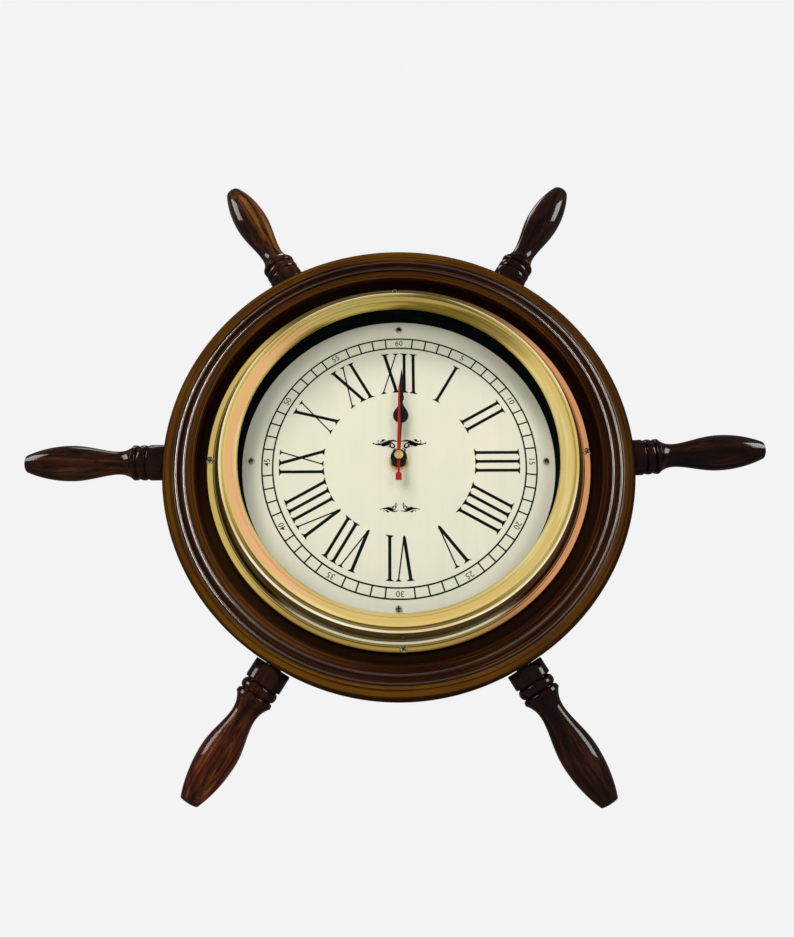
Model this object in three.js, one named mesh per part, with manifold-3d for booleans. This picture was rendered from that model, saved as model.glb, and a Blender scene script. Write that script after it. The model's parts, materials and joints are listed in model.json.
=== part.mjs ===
// Ship wheel wall clock: a turned wooden rim with six turned handles, a flanged brass case with its bezel,
// glass and dial, and a battery quartz movement whose wheels turn three hands.
// Sizes are millimetres. The origin is the wheel's centre on the wall, +Z is up and the clock faces -Y.
// A depth is a distance in front of the wall, so it lies at y = -depth.

import * as THREE from 'three';
import { mergeVertices } from 'three/addons/utils/BufferGeometryUtils.js';
import Module from 'manifold-3d';

// Gaps between neighbouring pieces
const seatGap = 0.1;            // two flat faces that rest on each other
const fixGap = 0.3;             // round a tenon, a screw or a piece dropped into its recess
const turnGap = 0.1;            // round a shaft that turns in a bore
const layerPlay = 0.5;          // between two layers of the movement

// Facets round the large rings, the handles and the small round pieces
const ringSides = 36;
const discSides = 20;
const pipeSides = 12;
const handleSides = 10;
const smallSides = 8;

// How far a hole or recess is cut past the face it opens in
const past = 1.0;

// Bezel, glass and black inner ring, from the dial's opening outwards
const openingRadius = 97.2;
const glassOverlap = 5.0;       // glass held under the bezel's lip
const glassThickness = 2.0;
const linerHeight = 16.0;       // from the dial to the glass
const linerInset = 0.3;         // liner set back behind the bezel's lip
const linerWall = 1.4;
const linerFootHeight = 1.4;
const lipHeight = 1.5;          // bezel's inner edge in front of the glass
const domeRise = 1.8;
const domeWidth = 8.2;
const bezelGrooveWidth = 0.8;
const bezelGrooveDepth = 0.6;
const bezelLipWidth = 2.3;
const bezelLipRound = 0.9;      // from the lip's outer edge to its crest
const bezelLipRise = 0.4;
const bezelConeDrop = 0.4;      // top of the skirt's cone below the dome's edge
const bezelFlare = 3.4;         // how much wider the bezel's skirt is where it meets the flange

// Brass case: tube, ledge that carries the dial, and rolled flange
const tubeWall = 1.6;
const tubeGap = 0.7;            // between the glass's edge and the tube's inner wall, seen from the front
const ledgeThickness = 1.6;
const ledgeReach = 12.2;        // ledge inside the bezel's opening
const flangeThickness = 3.9;
const flangeEdgeHeight = 2.0;
const flangeValleyWidth = 0.5;
const flangeBeadWidth = 6.5;
const flangeBeadRise = 1.1;
const dialSetback = 4.7;        // dial face behind the flange's underside

// Wooden rim, from the flange's seat outwards and forwards
const rimSeatDepth = 23.6;
const tubeToRim = 0.5;
const flangeToCove = 0.7;
const coveWidth = 4.9;
const coveHeight = 7.4;
const filletWidth = 5.2;
const filletRise = 0.4;
const stepRise = 0.6;
const beadWidth = 1.4;
const beadRise = 0.6;
const hollowWidth = 3.4;
const hollowLift = 0.5;
const quirkWidth = 0.7;
const quirkDepth = 0.9;
const crownWidth = 7.1;
const crownRise = 0.7;
const edgeRound = 2.0;
const backRound = 2.5;
const rebateDepth = 3.4;
const rebateWidth = 8.0;

// Handles, from the rim outwards. Each was turned and bored by hand, so it has its own degrees off its even
// place, its own lean from the radius at the rim, its own length of base and its own reach past the rim
const handleBase = 9.8;
const handleReach = 87.4;
const handleFits = [
  { place: 0.7, lean: 2.9, base: handleBase - 1.7, reach: handleReach - 3.1 },
  { place: 0.2, lean: 0.6, base: handleBase, reach: handleReach + 0.2 },
  { place: 0.2, lean: 0.1, base: handleBase, reach: handleReach + 0.6 },
  { place: 0.5, lean: 0.1, base: handleBase + 1.3, reach: handleReach },
  { place: 0.2, lean: -0.9, base: handleBase + 1.8, reach: handleReach - 4.3 },
  { place: -0.2, lean: 1.0, base: handleBase - 0.2, reach: handleReach - 3.6 },
];
const handleDepth = 20.0;
const tenonRadius = 5.0;
const tenonLength = 14.0;
const tenonChamfer = 0.8;
const baseRadius = 11.1;
const grooveRadius = 9.4;
const grooveWidth = 0.7;
const beadRadius = 11.0;
const beadLength = 6.0;         // from groove to groove
const collarRadius = 11.0;
const collarRound = 0.9;
const collarLength = 3.2;
const flareLength = 10.0;
const flareFall = 2.3;          // power by which the flare thins to the neck
const neckRadius = 7.2;
const swellPower = 0.85;
const bellyRadius = 11.1;
const bellyToTip = 28.0;
const tipRadius = 5.3;
const tipPower = 0.62;

// Dial and its screws
const dialThickness = 0.8;
const dialScrewInset = 5.4;     // inside the bezel's opening
const dialScrewHeadRadius = 2.0;
const dialScrewHeadHeight = 1.1;
const dialScrewShankRadius = 1.4;
const dialScrewReach = 3.4;     // shank behind the dial's face

// Flange screws
const flangeScrewTurn = 1.4;    // degrees, the flange was fitted slightly turned
const flangeScrewHeadRadius = 2.1;
const flangeScrewHeadTaper = 0.4;
const flangeScrewHeadHeight = 1.6;
const flangeScrewShankRadius = 1.4;
const flangeScrewLength = 15.0;
const flangeScrewSink = 0.2;    // head below the bead's crest

// Back panel and its screws
const backPanelThickness = 3.0;
const backPanelMargin = 2.0;    // opening round the movement
const backScrewInset = 4.0;     // from the rebate's wall
const backScrewHeadRadius = 2.6;
const backScrewHeadHeight = 1.3;
const backScrewShankRadius = 1.3;
const backScrewLength = 12.0;
const backScrewRecess = 0.1;    // head below the panel's back face

// Keyhole hanger on the rim's back
const hangerWidth = 46.0;
const hangerHeight = 19.0;
const hangerThickness = 1.2;
const hangerCorner = 3.0;
const hangerScrewInset = 6.0;    // from the plate's end
const hangerScrewHeadRadius = 2.6;
const hangerScrewHeadHeight = 0.6;
const hangerScrewShankRadius = 1.3;
const hangerScrewLength = 12.0;

// Every screw: flat middle of its domed head, its rim, and the flat of its blunt point, as shares
const screwCrown = 0.6;
const screwDomeDrop = 0.5;
const screwPoint = 0.4;

// Keyhole in the hanger, and the pocket behind it for the wall screw's head
const keyholeRadius = 4.2;
const keyholeSlotWidth = 4.4;
const keyholeSlotLength = 8.0;
const keyholePocketMargin = 2.0;
const keyholePocketDepth = 8.0;

// Hands, measured from the centre of their hubs
const handThickness = 0.6;
const handWasherRadius = 6.0;
const handWasherThickness = 0.5;
const handNutRadius = 5.5;
const handNutHeight = 2.6;
const handNutBevel = 0.5;
const hourHandHeight = 6.0;     // back of the blade in front of the dial
const hourHubRadius = 4.6;
const hourStemWidth = 2.0;
const bulbDistance = 28.6;
const bulbHalfWidth = 4.85;
const bulbBackLength = 5.3;
const bulbFrontLength = 9.6;
const bulbNeckWidth = 1.8;
const hourTipWidth = 3.4;
const hourTipLength = 6.5;
const hourTipShoulder = 2.6;    // widest point of the tip's leaf, from its root
const minuteHandGap = 1.3;      // between the hour and minute hands' blades
const minuteHubRadius = 5.1;
const minuteStemWidth = 2.0;
const minuteStemLength = 38.5;
const lanceRootWidth = 1.7;
const lanceWidth = 3.5;
const lanceShoulder = 5.0;
const lanceLength = 22.4;
const secondHandGap = 2.4;
const secondHandThickness = 0.4;
const secondHubRadius = 1.9;
const secondRootWidth = 2.3;
const secondTipWidth = 1.1;
const secondHandLength = 47.0;
const tailNeckWidth = 1.2;
const tailNeckDistance = 10.4;
const tailShoulder = 1.2;
const tailBlockWidth = 3.7;
const tailLength = 15.8;
const capRadius = 2.75;
const capHeight = 2.0;
const capBevel = 0.4;
const capCrown = 0.6;           // solid front of the cap, beyond its bore
const capNeckRadius = 1.0;
const colletRadius = 1.3;
const colletWall = 1.2;         // of the hour and minute hands' collets
const colletLength = 1.0;
const hourHandAngle = 2.4;      // degrees past twelve, as the hands were pressed on
const minuteHandAngle = 1.8;
const secondHandAngle = 0.3;

// Shafts that carry the hands, nested in each other
const bushRadius = 3.95;
const bushHeight = 4.2;         // threaded bush in front of the dial
const hourPipeWall = 0.6;
const minutePipeWall = 0.9;
const secondsArborRadius = 0.55;

// Movement case
const rubberThickness = 0.8;
const rubberRadius = 9.0;
const shellWall = 1.4;
const shellFront = 1.2;
const shellCorner = 4.0;
const shellAbove = 28.0;        // from the shafts to the top of the movement
const coverThickness = 1.4;
const pillarRadius = 1.8;
const pillarInset = 3.2;
const partitionWall = 1.2;
const batteryRadius = 7.1;
const batteryLength = 50.0;
const batteryNubRadius = 2.8;
const batteryNubLength = 1.2;
const batteryPlay = 0.3;
const contactThickness = 0.4;
const contactWidth = 6.0;
const contactBend = 3.0;        // how far a contact reaches past the partition

// Layers of the movement, from the front shell backwards
const wheelThickness = 1.2;
const motionThickness = 1.4;
const middlePlateThickness = 1.2;
const pinionExtra = 0.1;        // a pinion's leaves reach this far past the wheel they drive

// Wheel train: teeth, leaves, and the distance between the axes of each pair
const cannonLeaves = 8;
const motionTeeth = 24;
const motionLeaves = 8;
const hourTeeth = 32;
const motionDistance = 11.0;
const motionDirection = 40;     // degrees, seen from the front, anticlockwise from 3 o'clock
const motionHubRadius = 2.1;
const secondsLeaves = 6;
const thirdTeeth = 45;
const thirdLeaves = 6;
const centreTeeth = 48;
const thirdDistance = 9.2;
const thirdDirection = 140;
const secondsTeeth = 30;
const intermediateLeaves = 6;
const intermediateDistance = 9.4;
const intermediateDirection = -15;
const intermediateTeeth = 36;
const rotorLeaves = 6;
const rotorDistance = 6.3;
const rotorDirection = 0;
const wheelAddendum = 1.0;      // in modules
const wheelDedendum = 1.55;
const leafAddendum = 0.75;
const leafDedendum = 1.5;
const toothShare = 0.44;        // of the pitch
const leafShare = 0.36;
const arborRadius = 0.5;
const pivotDepth = 0.7;

// Motor, circuit and setting knob
const magnetRadius = 2.8;
const magnetHeight = 2.2;
const magnetGap = 0.5;
const statorWidth = 7.2;
const statorThickness = 1.0;
const statorArmWidth = 3.0;
const coilRadius = 3.4;
const coilLength = 16.0;
const coilFlange = 1.0;
const coilCoreWidth = 3.0;
const coilCoreThickness = 1.0;
const coilOffset = 0.5;         // between the stator's bar and the coil
const coilRise = 7.0;           // middle of the coil above the rotor's axis
const bobbinDepth = 0.5;        // coil's flanges outside its winding
const boardWidth = 7.8;
const boardLength = 26.0;
const boardThickness = 1.0;
const crystalRadius = 1.0;
const crystalLength = 6.0;
const stemRadius = 1.2;
const stemTipRadius = 0.8;
const knobRadius = 6.0;
const knobThickness = 1.6;
const knobRibs = 12;
const knobRibDepth = 0.35;
const knobWellGap = 0.4;

// Radii worked out from the opening outwards
const ledgeInnerRadius = openingRadius - ledgeReach;
const dialScrewCircle = openingRadius - dialScrewInset;
const glassRadius = openingRadius + glassOverlap;
const tubeInnerRadius = glassRadius + tubeGap;
const tubeRadius = tubeInnerRadius + tubeWall;
const skirtRadius = tubeRadius + fixGap;
const bezelRadius = openingRadius + domeWidth + bezelGrooveWidth + bezelLipWidth;
const bezelBaseRadius = bezelRadius + bezelFlare;
const flangeRadius = bezelBaseRadius + flangeValleyWidth + flangeBeadWidth;
const flangeScrewCircle = flangeRadius - flangeBeadWidth / 2;
const seatRadius = flangeRadius + flangeToCove;
const rimBoreRadius = tubeRadius + tubeToRim;
const rebateRadius = rimBoreRadius + rebateWidth;
const mouldingWidth = coveWidth + filletWidth + 2 * beadWidth + hollowWidth + quirkWidth + crownWidth;
const rimRadius = seatRadius + mouldingWidth;

// Depths of the case and the dial
const flangeDepth = rimSeatDepth + seatGap;
const dialDepth = flangeDepth - dialSetback;
const dialBackDepth = dialDepth - dialThickness;
const ledgeDepth = dialBackDepth - seatGap;
const glassDepth = dialDepth + linerHeight + 2 * seatGap;
const glassSeatDepth = glassDepth + glassThickness + seatGap;
const bezelBaseDepth = flangeDepth + flangeThickness + seatGap;
const panelDepth = rebateDepth - seatGap - backPanelThickness;

// Depths of the movement's layers, from its front face backwards
const shellDepth = dialBackDepth - rubberThickness - 2 * seatGap;
const shellInnerDepth = shellDepth - shellFront;
const hourLayer = layerBehind(shellInnerDepth, motionThickness);
const motionLayer = layerBehind(hourLayer.back, motionThickness);
const plateLayer = layerBehind(motionLayer.back, middlePlateThickness);
const centreLayer = layerBehind(plateLayer.back, wheelThickness);
const thirdLayer = layerBehind(centreLayer.back, wheelThickness);
const secondsLayer = layerBehind(thirdLayer.back, wheelThickness);
const intermediateLayer = layerBehind(secondsLayer.back, wheelThickness);
const coverInnerDepth = intermediateLayer.back - layerPlay;
const coverDepth = coverInnerDepth - coverThickness;

// Nested pipes
const minuteBoreRadius = secondsArborRadius + turnGap;
const minutePipeRadius = minuteBoreRadius + minutePipeWall;
const hourBoreRadius = minutePipeRadius + turnGap;
const hourPipeRadius = hourBoreRadius + hourPipeWall;
const bushBoreRadius = hourPipeRadius + turnGap;

// Modules of the wheel pairs follow from their distances
const motionModule = pairModule(motionDistance, cannonLeaves, motionTeeth);
const hourModule = pairModule(motionDistance, motionLeaves, hourTeeth);
const thirdModule = pairModule(thirdDistance, secondsLeaves, thirdTeeth);
const centreModule = pairModule(thirdDistance, thirdLeaves, centreTeeth);
const secondsModule = pairModule(intermediateDistance, intermediateLeaves, secondsTeeth);
const intermediateModule = pairModule(rotorDistance, rotorLeaves, intermediateTeeth);

// Axes of the wheels, seen from the front with the shafts of the hands at the origin
const centreAxis = new THREE.Vector2(0, 0);
const motionAxis = axisFrom(centreAxis, motionDistance, motionDirection);
const thirdAxis = axisFrom(centreAxis, thirdDistance, thirdDirection);
const intermediateAxis = axisFrom(centreAxis, intermediateDistance, intermediateDirection);
const rotorAxis = axisFrom(intermediateAxis, rotorDistance, rotorDirection);

// Stator's bar behind the rotor, and the coil beside it
const statorRight = rotorAxis.x + statorWidth / 2;
const coilAxisX = statorRight + coilOffset + coilRadius;

// Movement outline: the widest wheel, the partition and the battery set its height, and the battery or the
// coil, whichever reaches further, its width
const hourTipRadius = tipOf(hourTeeth, hourModule, wheelAddendum);
const partitionTop = -(hourTipRadius + layerPlay);
const partitionBottom = partitionTop - partitionWall;
const batteryTop = partitionBottom - 2 * batteryPlay - contactThickness;
const batteryHeight = batteryTop - batteryRadius;
const bayBottom = batteryHeight - batteryRadius - batteryPlay;
const shellBottom = bayBottom - shellWall;
const batteryReach = batteryLength / 2 + batteryNubLength + batteryPlay + contactThickness + batteryPlay;
const coilReach = coilAxisX + coilRadius + fixGap;
const bayHalfLength = Math.max(batteryReach, coilReach);
const shellHalfWidth = bayHalfLength + shellWall;

const steel = { color: 0x9a9a96, roughness: 0.4, metalness: 0.9 };
const brass = { color: 0xc9a24a, roughness: 0.28, metalness: 1.0 };
const rimWood = { color: 0x4a2c10, roughness: 0.38, metalness: 0.0 };
const handleWood = { color: 0x2a1309, roughness: 0.16, metalness: 0.0 };
const ivory = { color: 0xd2d0b6, roughness: 0.55, metalness: 0.0 };
const blackPaint = { color: 0x101414, roughness: 0.35, metalness: 0.1 };
const blackBoard = { color: 0x1d1c1a, roughness: 0.8, metalness: 0.0 };
const glassClear = { color: 0xf2f6f4, roughness: 0.03, metalness: 0.0, transparent: true, opacity: 0.2 };
const redPaint = { color: 0xa3261f, roughness: 0.35, metalness: 0.1 };
const rubberBlack = { color: 0x161616, roughness: 0.9, metalness: 0.0 };
const blackPlastic = { color: 0x1b1b1c, roughness: 0.5, metalness: 0.0 };
const whitePlastic = { color: 0xe6e4dc, roughness: 0.5, metalness: 0.0 };
const batteryJacket = { color: 0x7c8288, roughness: 0.35, metalness: 0.5 };
const boardGreen = { color: 0x1f5b35, roughness: 0.5, metalness: 0.0 };
const copperWire = { color: 0xb0602f, roughness: 0.35, metalness: 0.8 };

const wasm = await Module();
wasm.setup();

const clock = new THREE.Group();
clock.name = 'ship_wheel_clock';

// A layer of the movement that starts a play behind the depth given
function layerBehind(depth, thickness) {
  const front = depth - layerPlay;
  return { front, back: front - thickness };
}

function pairModule(distance, leaves, teeth) {
  return 2 * distance / (leaves + teeth);
}

function tipOf(teeth, module, addendum) {
  return module * (teeth / 2 + addendum);
}

function axisFrom(axis, distance, degrees) {
  const angle = THREE.MathUtils.degToRad(degrees);
  return axis.clone().add(new THREE.Vector2(Math.cos(angle), Math.sin(angle)).multiplyScalar(distance));
}

// Merges the corners that lie together and drops the faces that shrink to nothing on a lathe's axis
function welded(geometry) {
  const bare = new THREE.BufferGeometry();
  bare.setAttribute('position', geometry.getAttribute('position'));
  bare.setIndex(geometry.getIndex());
  const merged = mergeVertices(bare, 1e-4);
  const corners = merged.getIndex().array;
  const kept = [];
  for (let i = 0; i < corners.length; i += 3) {
    const [a, b, c] = corners.subarray(i, i + 3);
    if (a !== b && b !== c && c !== a) kept.push(a, b, c);
  }
  merged.setIndex(kept);
  return merged;
}

function solidOf(geometry) {
  const mesh = welded(geometry);
  return new wasm.Manifold(new wasm.Mesh({
    numProp: 3,
    vertProperties: Float32Array.from(mesh.getAttribute('position').array),
    triVerts: Uint32Array.from(mesh.getIndex().array),
  }));
}

function geometryOf(solid) {
  const mesh = solid.getMesh();
  const geometry = new THREE.BufferGeometry();
  geometry.setAttribute('position', new THREE.BufferAttribute(mesh.vertProperties, 3));
  geometry.setIndex(Array.from(mesh.triVerts));
  return geometry;
}

function joined(first, ...others) {
  return geometryOf(others.reduce((solid, other) => solid.add(solidOf(other)), solidOf(first)));
}

function carved(first, ...tools) {
  return geometryOf(tools.reduce((solid, tool) => solid.subtract(solidOf(tool)), solidOf(first)));
}

// A profile of [radius, height] pairs turned about the Y axis, open only where it meets that axis
function lathed(profile, sides) {
  const points = profile.map(([radius, height]) => new THREE.Vector2(radius, height));
  if (THREE.ShapeUtils.area(points) < 0) points.reverse();
  const onAxis = points.some((point) => point.x === 0);
  while (onAxis && !(points[0].x === 0 && points[points.length - 1].x === 0)) points.push(points.shift());
  if (!onAxis) points.push(points[0].clone());
  return welded(new THREE.LatheGeometry(points, sides));
}

// A profile of [radius, depth] pairs turned about the clock's own axis
function turned(profile, sides = ringSides) {
  return lathed(profile.map(([radius, depth]) => [radius, -depth]), sides);
}

// A solid rod along the clock's axis between two depths, about an axis of its own
function rod(radius, back, front, axis = centreAxis, sides = smallSides) {
  const geometry = new THREE.CylinderGeometry(radius, radius, front - back, sides);
  return geometry.translate(axis.x, -(back + front) / 2, axis.y);
}

function pipe(outer, inner, back, front, sides = pipeSides) {
  return turned([[inner, back], [outer, back], [outer, front], [inner, front]], sides);
}

// A flat piece cut to an outline seen from the front, between two depths
function plate(outline, holes, back, front) {
  const shape = new THREE.Shape(outline);
  shape.holes = holes.map((hole) => new THREE.Path(hole));
  const geometry = new THREE.ExtrudeGeometry(shape, { depth: front - back, bevelEnabled: false });
  return geometry.rotateX(Math.PI / 2).translate(0, -back, 0);
}

function block(left, right, bottom, top, back, front) {
  const geometry = new THREE.BoxGeometry(right - left, front - back, top - bottom);
  return geometry.translate((left + right) / 2, -(back + front) / 2, (bottom + top) / 2);
}

function arc(centre, radii, fromDegrees, toDegrees, steps) {
  return Array.from({ length: steps + 1 }, (_, i) => {
    const angle = THREE.MathUtils.degToRad(THREE.MathUtils.lerp(fromDegrees, toDegrees, i / steps));
    return [centre[0] + radii[0] * Math.cos(angle), centre[1] + radii[1] * Math.sin(angle)];
  });
}

function circle(radius, sides = smallSides, axis = centreAxis) {
  return Array.from({ length: sides }, (_, i) => axisFrom(axis, radius, 360 * i / sides));
}

function roundedRectangle(left, right, bottom, top, corner) {
  const corners = [[right, top, 0], [left, top, 90], [left, bottom, 180], [right, bottom, 270]];
  return corners.flatMap(([x, z, start]) => {
    const centre = [x - Math.sign(x - left || -1) * corner, z - Math.sign(z - bottom || -1) * corner];
    return arc(centre, [corner, corner], start, start + 90, 3).map(([u, v]) => new THREE.Vector2(u, v));
  });
}

function vectors(pairs) {
  return pairs.map(([x, z]) => new THREE.Vector2(x, z));
}

// The right half of a hand's outline, from its tip to its tail, mirrored to the left
function mirrored(pairs) {
  const left = pairs.filter(([x]) => x > 0).map(([x, z]) => [-x, z]).reverse();
  return vectors([...pairs, ...left]);
}

function add(name, geometry, finish, parent = clock) {
  const material = new THREE.MeshStandardMaterial({ ...finish, flatShading: true });
  const mesh = new THREE.Mesh(geometry, material);
  mesh.name = name;
  parent.add(mesh);
  return mesh;
}

// Rim: cove, flat fillet, two beads with a hollow between them, a quirk and the broad crowned band
function rimProfile() {
  const profile = [[rimBoreRadius, rebateDepth], [rimBoreRadius, rimSeatDepth]];
  let radius = seatRadius;
  let depth = rimSeatDepth + coveHeight;
  profile.push(...arc([radius, depth], [coveWidth, coveHeight], -90, 0, 4));
  radius += coveWidth;
  profile.push([radius + filletWidth, depth + filletRise]);
  radius += filletWidth;
  depth += filletRise + stepRise;
  profile.push(...arc([radius + beadWidth / 2, depth], [beadWidth / 2, beadRise], 180, 0, 2));
  radius += beadWidth;
  profile.push([radius + hollowWidth / 2, depth]);
  radius += hollowWidth;
  depth += hollowLift;
  profile.push(...arc([radius + beadWidth / 2, depth], [beadWidth / 2, beadRise], 180, 0, 2));
  radius += beadWidth + quirkWidth;
  profile.push([radius - quirkWidth / 2, depth - quirkDepth]);
  const shoulder = depth + beadRise;
  profile.push([radius, shoulder]);
  profile.push([radius + (crownWidth - edgeRound) / 2, shoulder + crownRise]);
  const edge = [rimRadius - edgeRound, shoulder + crownRise - edgeRound];
  profile.push(...arc(edge, [edgeRound, edgeRound], 80, 0, 2));
  profile.push([rimRadius, backRound], [rimRadius - backRound, 0]);
  profile.push([rebateRadius, 0], [rebateRadius, rebateDepth]);
  return profile;
}

// Places a piece made along +Y, its foot at the origin, as one of the handles on the rim
function pointedOut(geometry, index) {
  const { place, lean } = handleFits[index];
  const angle = 360 * index / handleFits.length + place;
  geometry.rotateZ(-Math.PI / 2).rotateY(-THREE.MathUtils.degToRad(lean));
  geometry.translate(rimRadius, -handleDepth, 0);
  return geometry.rotateY(-THREE.MathUtils.degToRad(angle));
}

const hangerHeightOnRim = (rebateRadius + rimRadius - backRound) / 2;
const hangerBottom = hangerHeightOnRim - hangerHeight / 2;
const hangerTop = hangerHeightOnRim + hangerHeight / 2;
const keyholeCentre = new THREE.Vector2(0, hangerHeightOnRim - keyholeSlotLength / 2);

// The keyhole seen from the front: a round hole for the wall screw's head and a slot above it
function keyholeOutline(margin) {
  const slotTop = keyholeCentre.y + keyholeSlotLength;
  const half = keyholeSlotWidth / 2 + margin;
  const round = keyholeRadius + margin;
  const opening = THREE.MathUtils.radToDeg(Math.asin(half / round));
  const hole = arc([0, keyholeCentre.y], [round, round], 90 + opening, 450 - opening, 10);
  const end = arc([0, slotTop - keyholeSlotWidth / 2], [half, half], 0, 180, 4);
  return vectors([...hole, ...end]);
}

function addRim() {
  const tools = [];
  for (let i = 0; i < handleFits.length; i++) {
    const radius = tenonRadius + fixGap;
    const bore = new THREE.CylinderGeometry(radius, radius, tenonLength + fixGap + past, pipeSides);
    bore.translate(0, (past - tenonLength - fixGap) / 2, 0);
    tools.push(pointedOut(bore, i));
  }
  for (const axis of flangeScrewAxes()) {
    tools.push(rod(flangeScrewShankRadius + fixGap, flangeScrewTip() - fixGap, flangeDepth, axis));
  }
  for (const axis of backScrewAxes()) {
    tools.push(rod(backScrewShankRadius + fixGap, 0, backScrewTip() + fixGap, axis));
  }
  for (const axis of hangerScrewAxes()) {
    tools.push(rod(hangerScrewShankRadius + fixGap, 0, hangerScrewTip() + fixGap, axis));
  }
  const recessHalf = hangerWidth / 2 + fixGap;
  const recess = roundedRectangle(
    -recessHalf, recessHalf, hangerBottom - fixGap, hangerTop + fixGap, hangerCorner);
  tools.push(plate(recess, [], -seatGap, hangerThickness + 2 * seatGap));
  const reach = keyholeRadius + keyholePocketMargin;
  const pocket = roundedRectangle(-reach, reach, keyholeCentre.y - reach,
    keyholeCentre.y + keyholeSlotLength + keyholePocketMargin, keyholePocketMargin);
  tools.push(plate(pocket, [], -seatGap, keyholePocketDepth));
  add('wheel_rim', carved(turned(rimProfile()), ...tools), rimWood);
}

// Handle: tenon, base, bead, collar flared down to a narrow neck, belly and a blunt rounded tip
function handleProfile({ base, reach }) {
  const profile = [[0, -tenonLength], [tenonRadius - tenonChamfer, -tenonLength]];
  profile.push([tenonRadius, tenonChamfer - tenonLength], [tenonRadius, fixGap], [baseRadius, fixGap]);
  const firstGroove = base + grooveWidth / 2;
  const secondGroove = firstGroove + beadLength;
  const lip = secondGroove + collarLength;
  const neck = lip + flareLength;
  const belly = reach - bellyToTip;
  profile.push([baseRadius, base], [grooveRadius, firstGroove]);
  profile.push(...arc([grooveRadius, firstGroove + beadLength / 2],
    [beadRadius - grooveRadius, beadLength / 2], -60, 60, 2));
  profile.push([grooveRadius, secondGroove]);
  profile.push([collarRadius - collarRound / 2, secondGroove + collarRound], [collarRadius, lip]);
  for (const share of [0.1, 0.3, 0.5]) {
    const rise = (collarRadius - neckRadius) * (1 - share) ** flareFall;
    profile.push([neckRadius + rise, lip + flareLength * share]);
  }
  for (const share of [0, 0.3, 0.65]) {
    const swell = ((1 - Math.cos(Math.PI * share)) / 2) ** swellPower;
    profile.push([neckRadius + (bellyRadius - neckRadius) * swell, neck + (belly - neck) * share]);
  }
  for (const share of [0, 0.4, 0.7, 0.88, 1]) {
    const swell = (1 - share ** 2) ** tipPower;
    profile.push([tipRadius + (bellyRadius - tipRadius) * swell, belly + bellyToTip * share]);
  }
  profile.push([0, reach]);
  return profile;
}

function addHandles() {
  handleFits.forEach((fit, i) => {
    add(`handle_${i + 1}`, pointedOut(lathed(handleProfile(fit), handleSides), i), handleWood);
  });
}

// Case: tube with the dial's ledge inside it and the rolled flange outside it, turned as one piece
function caseProfile() {
  const top = flangeDepth + flangeThickness;
  const bead = bezelBaseRadius + flangeValleyWidth;
  const halfBead = flangeBeadWidth / 2;
  return [
    [tubeInnerRadius, rebateDepth + seatGap],
    [tubeRadius, rebateDepth + seatGap],
    [tubeRadius, flangeDepth],
    [flangeRadius, flangeDepth],
    [flangeRadius, flangeDepth + flangeEdgeHeight],
    ...arc([bead + halfBead, flangeDepth + flangeEdgeHeight],
      [halfBead, flangeThickness + flangeBeadRise - flangeEdgeHeight], 30, 120, 3),
    [bead, top],
    [tubeRadius, top],
    [tubeRadius, glassDepth - fixGap],
    [tubeInnerRadius, glassDepth - fixGap],
    [tubeInnerRadius, ledgeDepth],
    [ledgeInnerRadius, ledgeDepth],
    [ledgeInnerRadius, ledgeDepth - ledgeThickness],
    [tubeInnerRadius, ledgeDepth - ledgeThickness],
  ];
}

function quarterAxes(radius, turn) {
  return [0, 90, 180, 270].map((degrees) => axisFrom(centreAxis, radius, degrees + turn));
}

function dialScrewAxes() {
  return quarterAxes(dialScrewCircle, 0);
}

function flangeScrewAxes() {
  return quarterAxes(flangeScrewCircle, flangeScrewTurn);
}

function backScrewAxes() {
  return quarterAxes(rebateRadius - backScrewInset, 45);
}

function hangerScrewAxes() {
  const half = hangerWidth / 2 - hangerScrewInset;
  return [-1, 1].map((side) => new THREE.Vector2(side * half, hangerHeightOnRim));
}

function flangeScrewHeadDepth() {
  return flangeDepth + flangeThickness + flangeBeadRise - flangeScrewSink;
}

function flangeScrewTip() {
  return flangeScrewHeadDepth() - flangeScrewLength;
}

function backScrewTip() {
  return panelDepth + backScrewRecess + backScrewLength;
}

function hangerScrewTip() {
  return seatGap + hangerScrewLength;
}

// A screw about its own axis: a domed head and a shank that ends in a blunt point
function screw(axis, head, shank, tip) {
  const forward = Math.sign(head.top - tip);
  const under = head.top - forward * head.height;
  const profile = [
    [0, head.top],
    [head.radius * screwCrown, head.top],
    [head.radius, head.top - forward * head.height * screwDomeDrop],
    [head.radius - (head.taper ?? 0), under],
    [shank, under],
    [shank, tip + forward * shank],
    [shank * screwPoint, tip],
    [0, tip],
  ];
  return turned(profile, smallSides).translate(axis.x, 0, axis.y);
}

function addCase() {
  const tools = [];
  for (const axis of dialScrewAxes()) {
    tools.push(rod(dialScrewShankRadius + fixGap, ledgeDepth - ledgeThickness - fixGap, dialDepth, axis));
  }
  const headUnder = flangeScrewHeadDepth() - flangeScrewHeadHeight;
  for (const axis of flangeScrewAxes()) {
    tools.push(rod(flangeScrewShankRadius + fixGap, flangeDepth - fixGap, headUnder, axis));
    tools.push(rod(flangeScrewHeadRadius + fixGap, headUnder - fixGap, headUnder + flangeThickness, axis));
  }
  add('brass_case', carved(turned(caseProfile()), ...tools), brass);

  const head = {
    top: flangeScrewHeadDepth(), height: flangeScrewHeadHeight, radius: flangeScrewHeadRadius,
    taper: flangeScrewHeadTaper,
  };
  flangeScrewAxes().forEach((axis, i) => {
    add(`flange_screw_${i + 1}`, screw(axis, head, flangeScrewShankRadius, flangeScrewTip()), steel);
  });
}

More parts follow.
